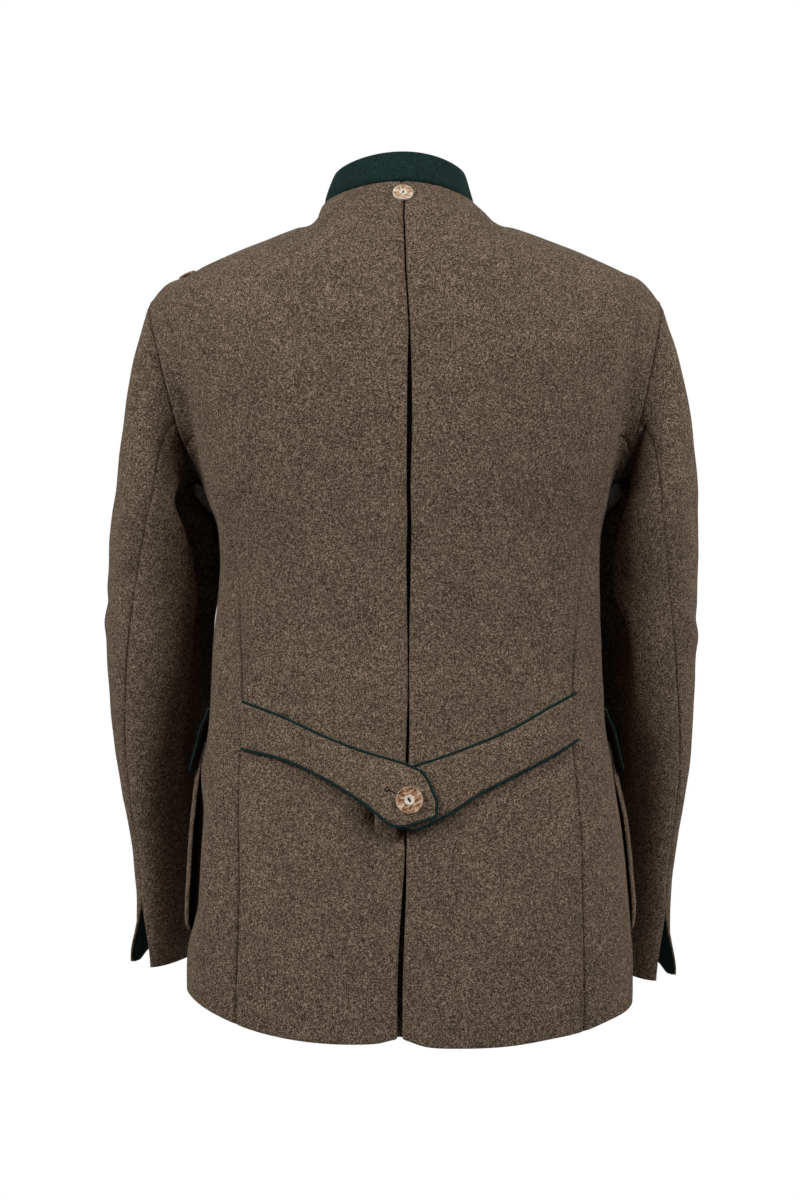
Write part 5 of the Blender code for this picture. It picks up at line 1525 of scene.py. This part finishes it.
class JACKET_OT_torso(Making):
    """Cuts and hangs the backs with their pleat, the sides and the fronts"""

    bl_idname = "jacket.torso"
    bl_label = "Torso"

    def execute(self, context):
        hem, hem_and_edge = {"bottom": 1}, {"bottom": 1, "right": 1}
        for side, word in SIDE_NAMES.items():
            back, flank, front = (f"{part}_{word}" for part in ("back", "side", "front"))
            cloth_piece(back, fine_back(side), CLOTH, "loden", hem, "hung", flank, "collar")
            cloth_piece(flank, fine_side(side), CLOTH, "loden", hem, "hung", back, front)
            cloth_piece(front, fine_front(side), CLOTH, "loden", hem_and_edge, "hung", flank, "collar")
        cloth_piece("pleat_underlay", fine_underlay(), CLOTH, "loden", hem, "hung", "back_left", "back_right")
        return {"FINISHED"}


class JACKET_OT_sleeves(Making):
    """Cuts and hangs the upper and under sleeves and the felt that lines their vents"""

    bl_idname = "jacket.sleeves"
    bl_label = "Sleeves"

    def execute(self, context):
        cuff_and_vent = {"top": 1, "left": (fine_falls()[:, 0] > VENT_FALL).astype(float)}
        for side, word in SIDE_NAMES.items():
            upper, under = f"upper_sleeve_{word}", f"under_sleeve_{word}"
            cloth_piece(upper, fine_upper_sleeve(side), CLOTH, "loden", cuff_and_vent, "hung",
                        f"back_{word}", f"front_{word}")
            cloth_piece(under, fine_under_sleeve(side), CLOTH, "loden", cuff_and_vent, "hung", upper)
            cloth_piece(f"cuff_facing_{word}", fine_facing(side), FELT, "green_wool", {"top": 1, "left": 1},
                        "laid", upper)
        return {"FINISHED"}


class JACKET_OT_collar(Making):
    """Shapes the standing collar"""

    bl_idname = "jacket.collar"
    bl_label = "Collar"

    def execute(self, context):
        cloth_piece("collar", fine_collar(), COLLAR_CLOTH, "green_wool", {"top": 1, "left": 1, "right": 1},
                    "folded", "back_left", "front_left")
        return {"FINISHED"}


# How far the edges of a stitched-down pocket and of a piped flap or belt are rounded.
POCKET_ROLL = {"bottom": 0.5, "left": 0.5, "right": 0.5, "top": 1}
FLAP_ROLL = {"bottom": 0.2, "left": 0.2, "right": 0.2}
BELT_ROLL = {**FLAP_ROLL, "top": 0.2}


class JACKET_OT_pockets(Making):
    """Lays the bellows pockets and their flaps on the fronts"""

    bl_idname = "jacket.pockets"
    bl_label = "Pockets and flaps"

    def execute(self, context):
        for side, word in SIDE_NAMES.items():
            front, flap = f"front_{word}", fine_flap(side)
            cloth_piece(f"pocket_{word}", fine_pocket(side), CLOTH, "loden", POCKET_ROLL, "laid", front)
            cloth_piece(f"pocket_flap_{word}", flap, CLOTH, "loden", FLAP_ROLL, "laid", front)
            piping_cord(f"flap_piping_{word}", *border_points(*flap, CLOTH, "top", PIPING_CLEAR))
        return {"FINISHED"}


class JACKET_OT_belt(Making):
    """Lays the two halves of the belt across the back and edges them with piping"""

    bl_idname = "jacket.belt"
    bl_label = "Belt"

    def execute(self, context):
        for side, word in SIDE_NAMES.items():
            half, open_edge = fine_belt(side), "right" if side == LEFT else "left"
            cloth_piece(f"belt_{word}", half, BELT_CLOTH, "loden", BELT_ROLL, "laid", f"back_{word}")
            piping_cord(f"belt_piping_{word}", *border_points(*half, BELT_CLOTH, open_edge, PIPING_CLEAR))
        return {"FINISHED"}


class JACKET_OT_buttons(Making):
    """Turns the antler buttons and sets them on the belt, the neck, the shoulder and the front"""

    bl_idname = "jacket.buttons"
    bl_label = "Buttons"

    def execute(self, context):
        turned_button("button_belt", BELT_BUTTON, belt_button_place(), "antler", math.radians(120))
        turned_button("button_neck", NECK_BUTTON, neck_button_place(), "pale_antler", math.radians(70))
        turned_button("button_shoulder", SHOULDER_BUTTON, shoulder_button_place(), "dark_antler", 0.0)
        for number in range(FRONT_BUTTON_COUNT):
            turned_button(f"button_front_{number + 1}", FRONT_BUTTON, front_button_place(number), "antler",
                          0.7 * number)
        return {"FINISHED"}


# The keyhole buttonhole of the belt: its slit from the button outwards, and the eye at its end.
BUTTONHOLE = [(0.0060, -0.5500), (0.0100, -0.5482), (0.0142, -0.5462)]
BUTTONHOLE_EYE, EYE_RADIUS, EYE_POINTS = (0.0160, -0.5453), 1.9 * MM, 10
STITCH_THICK = 0.55 * MM


def thread(name, points):
    """Sewn thread: a round dark cord along points, in a mesh of its own."""
    curve = bpy.data.curves.new(name, "CURVE")
    curve.dimensions, curve.bevel_depth, curve.bevel_resolution = "3D", STITCH_THICK, 2
    curve.use_fill_caps = True
    spline = curve.splines.new("POLY")
    spline.points.add(len(points) - 1)
    for laid, point in zip(spline.points, points):
        laid.co = (*point, 1)
    made = bpy.data.objects.new(name, curve)
    bpy.context.scene.collection.objects.link(made)
    bpy.ops.object.select_all(action="DESELECT")
    made.select_set(True)
    bpy.context.view_layer.objects.active = made
    bpy.ops.object.convert(target="MESH")
    made = bpy.context.object
    made.data.materials.clear()
    made.data.materials.append(finish_of("thread"))
    made.data.shade_smooth()
    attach(made, "root")


def on_belt(x, z):
    """Points just proud of the left half of the belt."""
    x, z = np.array(x), np.array(z)
    columns = BELT_COLUMNS[LEFT]
    lift = read(columns, "lift", x) + belt_sag(x, z) + BELT_CROWN
    return belt_place(x, z, lift)[0]


class JACKET_OT_stitching(Making):
    """Works the keyhole buttonhole of the belt"""

    bl_idname = "jacket.stitching"
    bl_label = "Stitching"

    def execute(self, context):
        turns = np.linspace(0, 2 * np.pi, EYE_POINTS + 1)
        x, z = BUTTONHOLE_EYE
        thread("buttonhole_slit", on_belt(*zip(*BUTTONHOLE)))
        thread("buttonhole_eye", on_belt(x + EYE_RADIUS * np.cos(turns), z + EYE_RADIUS * np.sin(turns)))
        return {"FINISHED"}


# The lens and the place of the camera, and the floor's radius and height.
CAMERA_PLACE, SENSOR_WIDTH, LENS = (0.0057, 1.8, -0.376), 36, 56.7
FLOOR_RADIUS, FLOOR_SIDES, FLOOR_Z = 1.7, 128, -2.2
# Soft boxes: where each stands, what it faces, its width and height, and its share of the key light.
SoftBox = namedtuple("SoftBox", "name place aim wide tall share")
SOFT_BOXES = [
    SoftBox("key_left", (2.0, 1.4, 1.15), (0.0, 0.0, -0.20), 1.2, 1.6, 1.00),
    SoftBox("key_right", (-2.0, 1.4, 1.15), (0.0, 0.0, -0.20), 1.2, 1.6, 0.98),
    SoftBox("edge_left", (2.0, -0.8, 0.4), (0.0, 0.0, -0.30), 1.0, 1.6, 0.12),
    SoftBox("edge_right", (-2.0, -0.8, 0.4), (0.0, 0.0, -0.30), 1.0, 1.6, 0.22),
    SoftBox("low_left", (2.0, 1.2, -0.9), (0.0, 0.0, -0.40), 1.0, 1.0, 0.10),
    SoftBox("front", (0.0, -2.2, 1.4), (0.0, 0.0, -0.30), 1.8, 1.2, 0.28),
]


def light_stage(look):
    world = bpy.context.scene.world or bpy.data.worlds.new("Studio")
    bpy.context.scene.world = world
    world.use_nodes = True
    nodes, links = world.node_tree.nodes, world.node_tree.links
    seen = nodes.new("ShaderNodeLightPath").outputs["Is Camera Ray"]
    level = nodes.new("ShaderNodeMapRange")
    level.inputs["To Min"].default_value, level.inputs["To Max"].default_value = look.ambient, 1.0
    links.new(seen, level.inputs["Value"])
    nodes["Background"].inputs["Color"].default_value = (1.0, 1.0, 1.0, 1)
    links.new(level.outputs["Result"], nodes["Background"].inputs["Strength"])
    for box in SOFT_BOXES:
        bpy.ops.object.light_add(type="AREA", location=box.place)
        light = bpy.context.object
        light.name = box.name
        light.data.shape = "RECTANGLE"
        light.data.size, light.data.size_y = box.wide, box.tall
        light.data.energy = look.key_light * box.share
        aim = Vector(box.aim) - Vector(box.place)
        light.rotation_euler = aim.to_track_quat("-Z", "Y").to_euler()
    bpy.context.scene.view_settings.view_transform = "Standard"


class JACKET_OT_stage(Making):
    """Sets the pale floor, the soft lights and the camera"""

    bl_idname = "jacket.stage"
    bl_label = "Stage"

    def execute(self, context):
        look = context.scene.jacket
        bpy.ops.object.select_all(action="DESELECT")
        bpy.ops.mesh.primitive_circle_add(vertices=FLOOR_SIDES, radius=FLOOR_RADIUS, fill_type="NGON",
                                          location=(0, 0, FLOOR_Z))
        floor = bpy.context.object
        floor.name = "floor"
        floor.data.materials.append(plain_floor(look.floor))
        light_stage(look)
        bpy.ops.object.camera_add(location=CAMERA_PLACE, rotation=(math.pi / 2, 0, math.pi))
        camera = bpy.context.object
        camera.data.sensor_width, camera.data.lens = SENSOR_WIDTH, LENS
        bpy.context.scene.camera = camera
        return {"FINISHED"}


STEPS = (JACKET_OT_stage, JACKET_OT_torso, JACKET_OT_sleeves, JACKET_OT_collar, JACKET_OT_pockets,
         JACKET_OT_belt, JACKET_OT_buttons, JACKET_OT_stitching)


class JACKET_PT_steps(bpy.types.Panel):
    """The jacket's sizes and colours, and the steps that make it"""

    bl_idname = "JACKET_PT_steps"
    bl_label = "Jacket"
    bl_space_type = "VIEW_3D"
    bl_region_type = "UI"
    bl_category = "Jacket"

    def draw(self, context):
        for name in JacketLook.__annotations__:
            self.layout.prop(context.scene.jacket, name)
        for step in STEPS:
            self.layout.operator(step.bl_idname)


CLASSES = (JacketLook, *STEPS, JACKET_PT_steps)


def register():
    for made in CLASSES:
        bpy.utils.register_class(made)
    bpy.types.Scene.jacket = bpy.props.PointerProperty(type=JacketLook)


def unregister():
    del bpy.types.Scene.jacket
    for made in reversed(CLASSES):
        bpy.utils.unregister_class(made)


def main():
    register()
    for step in STEPS:
        group, name = step.bl_idname.split(".")
        getattr(getattr(bpy.ops, group), name)()


if __name__ == "__main__":
    main()
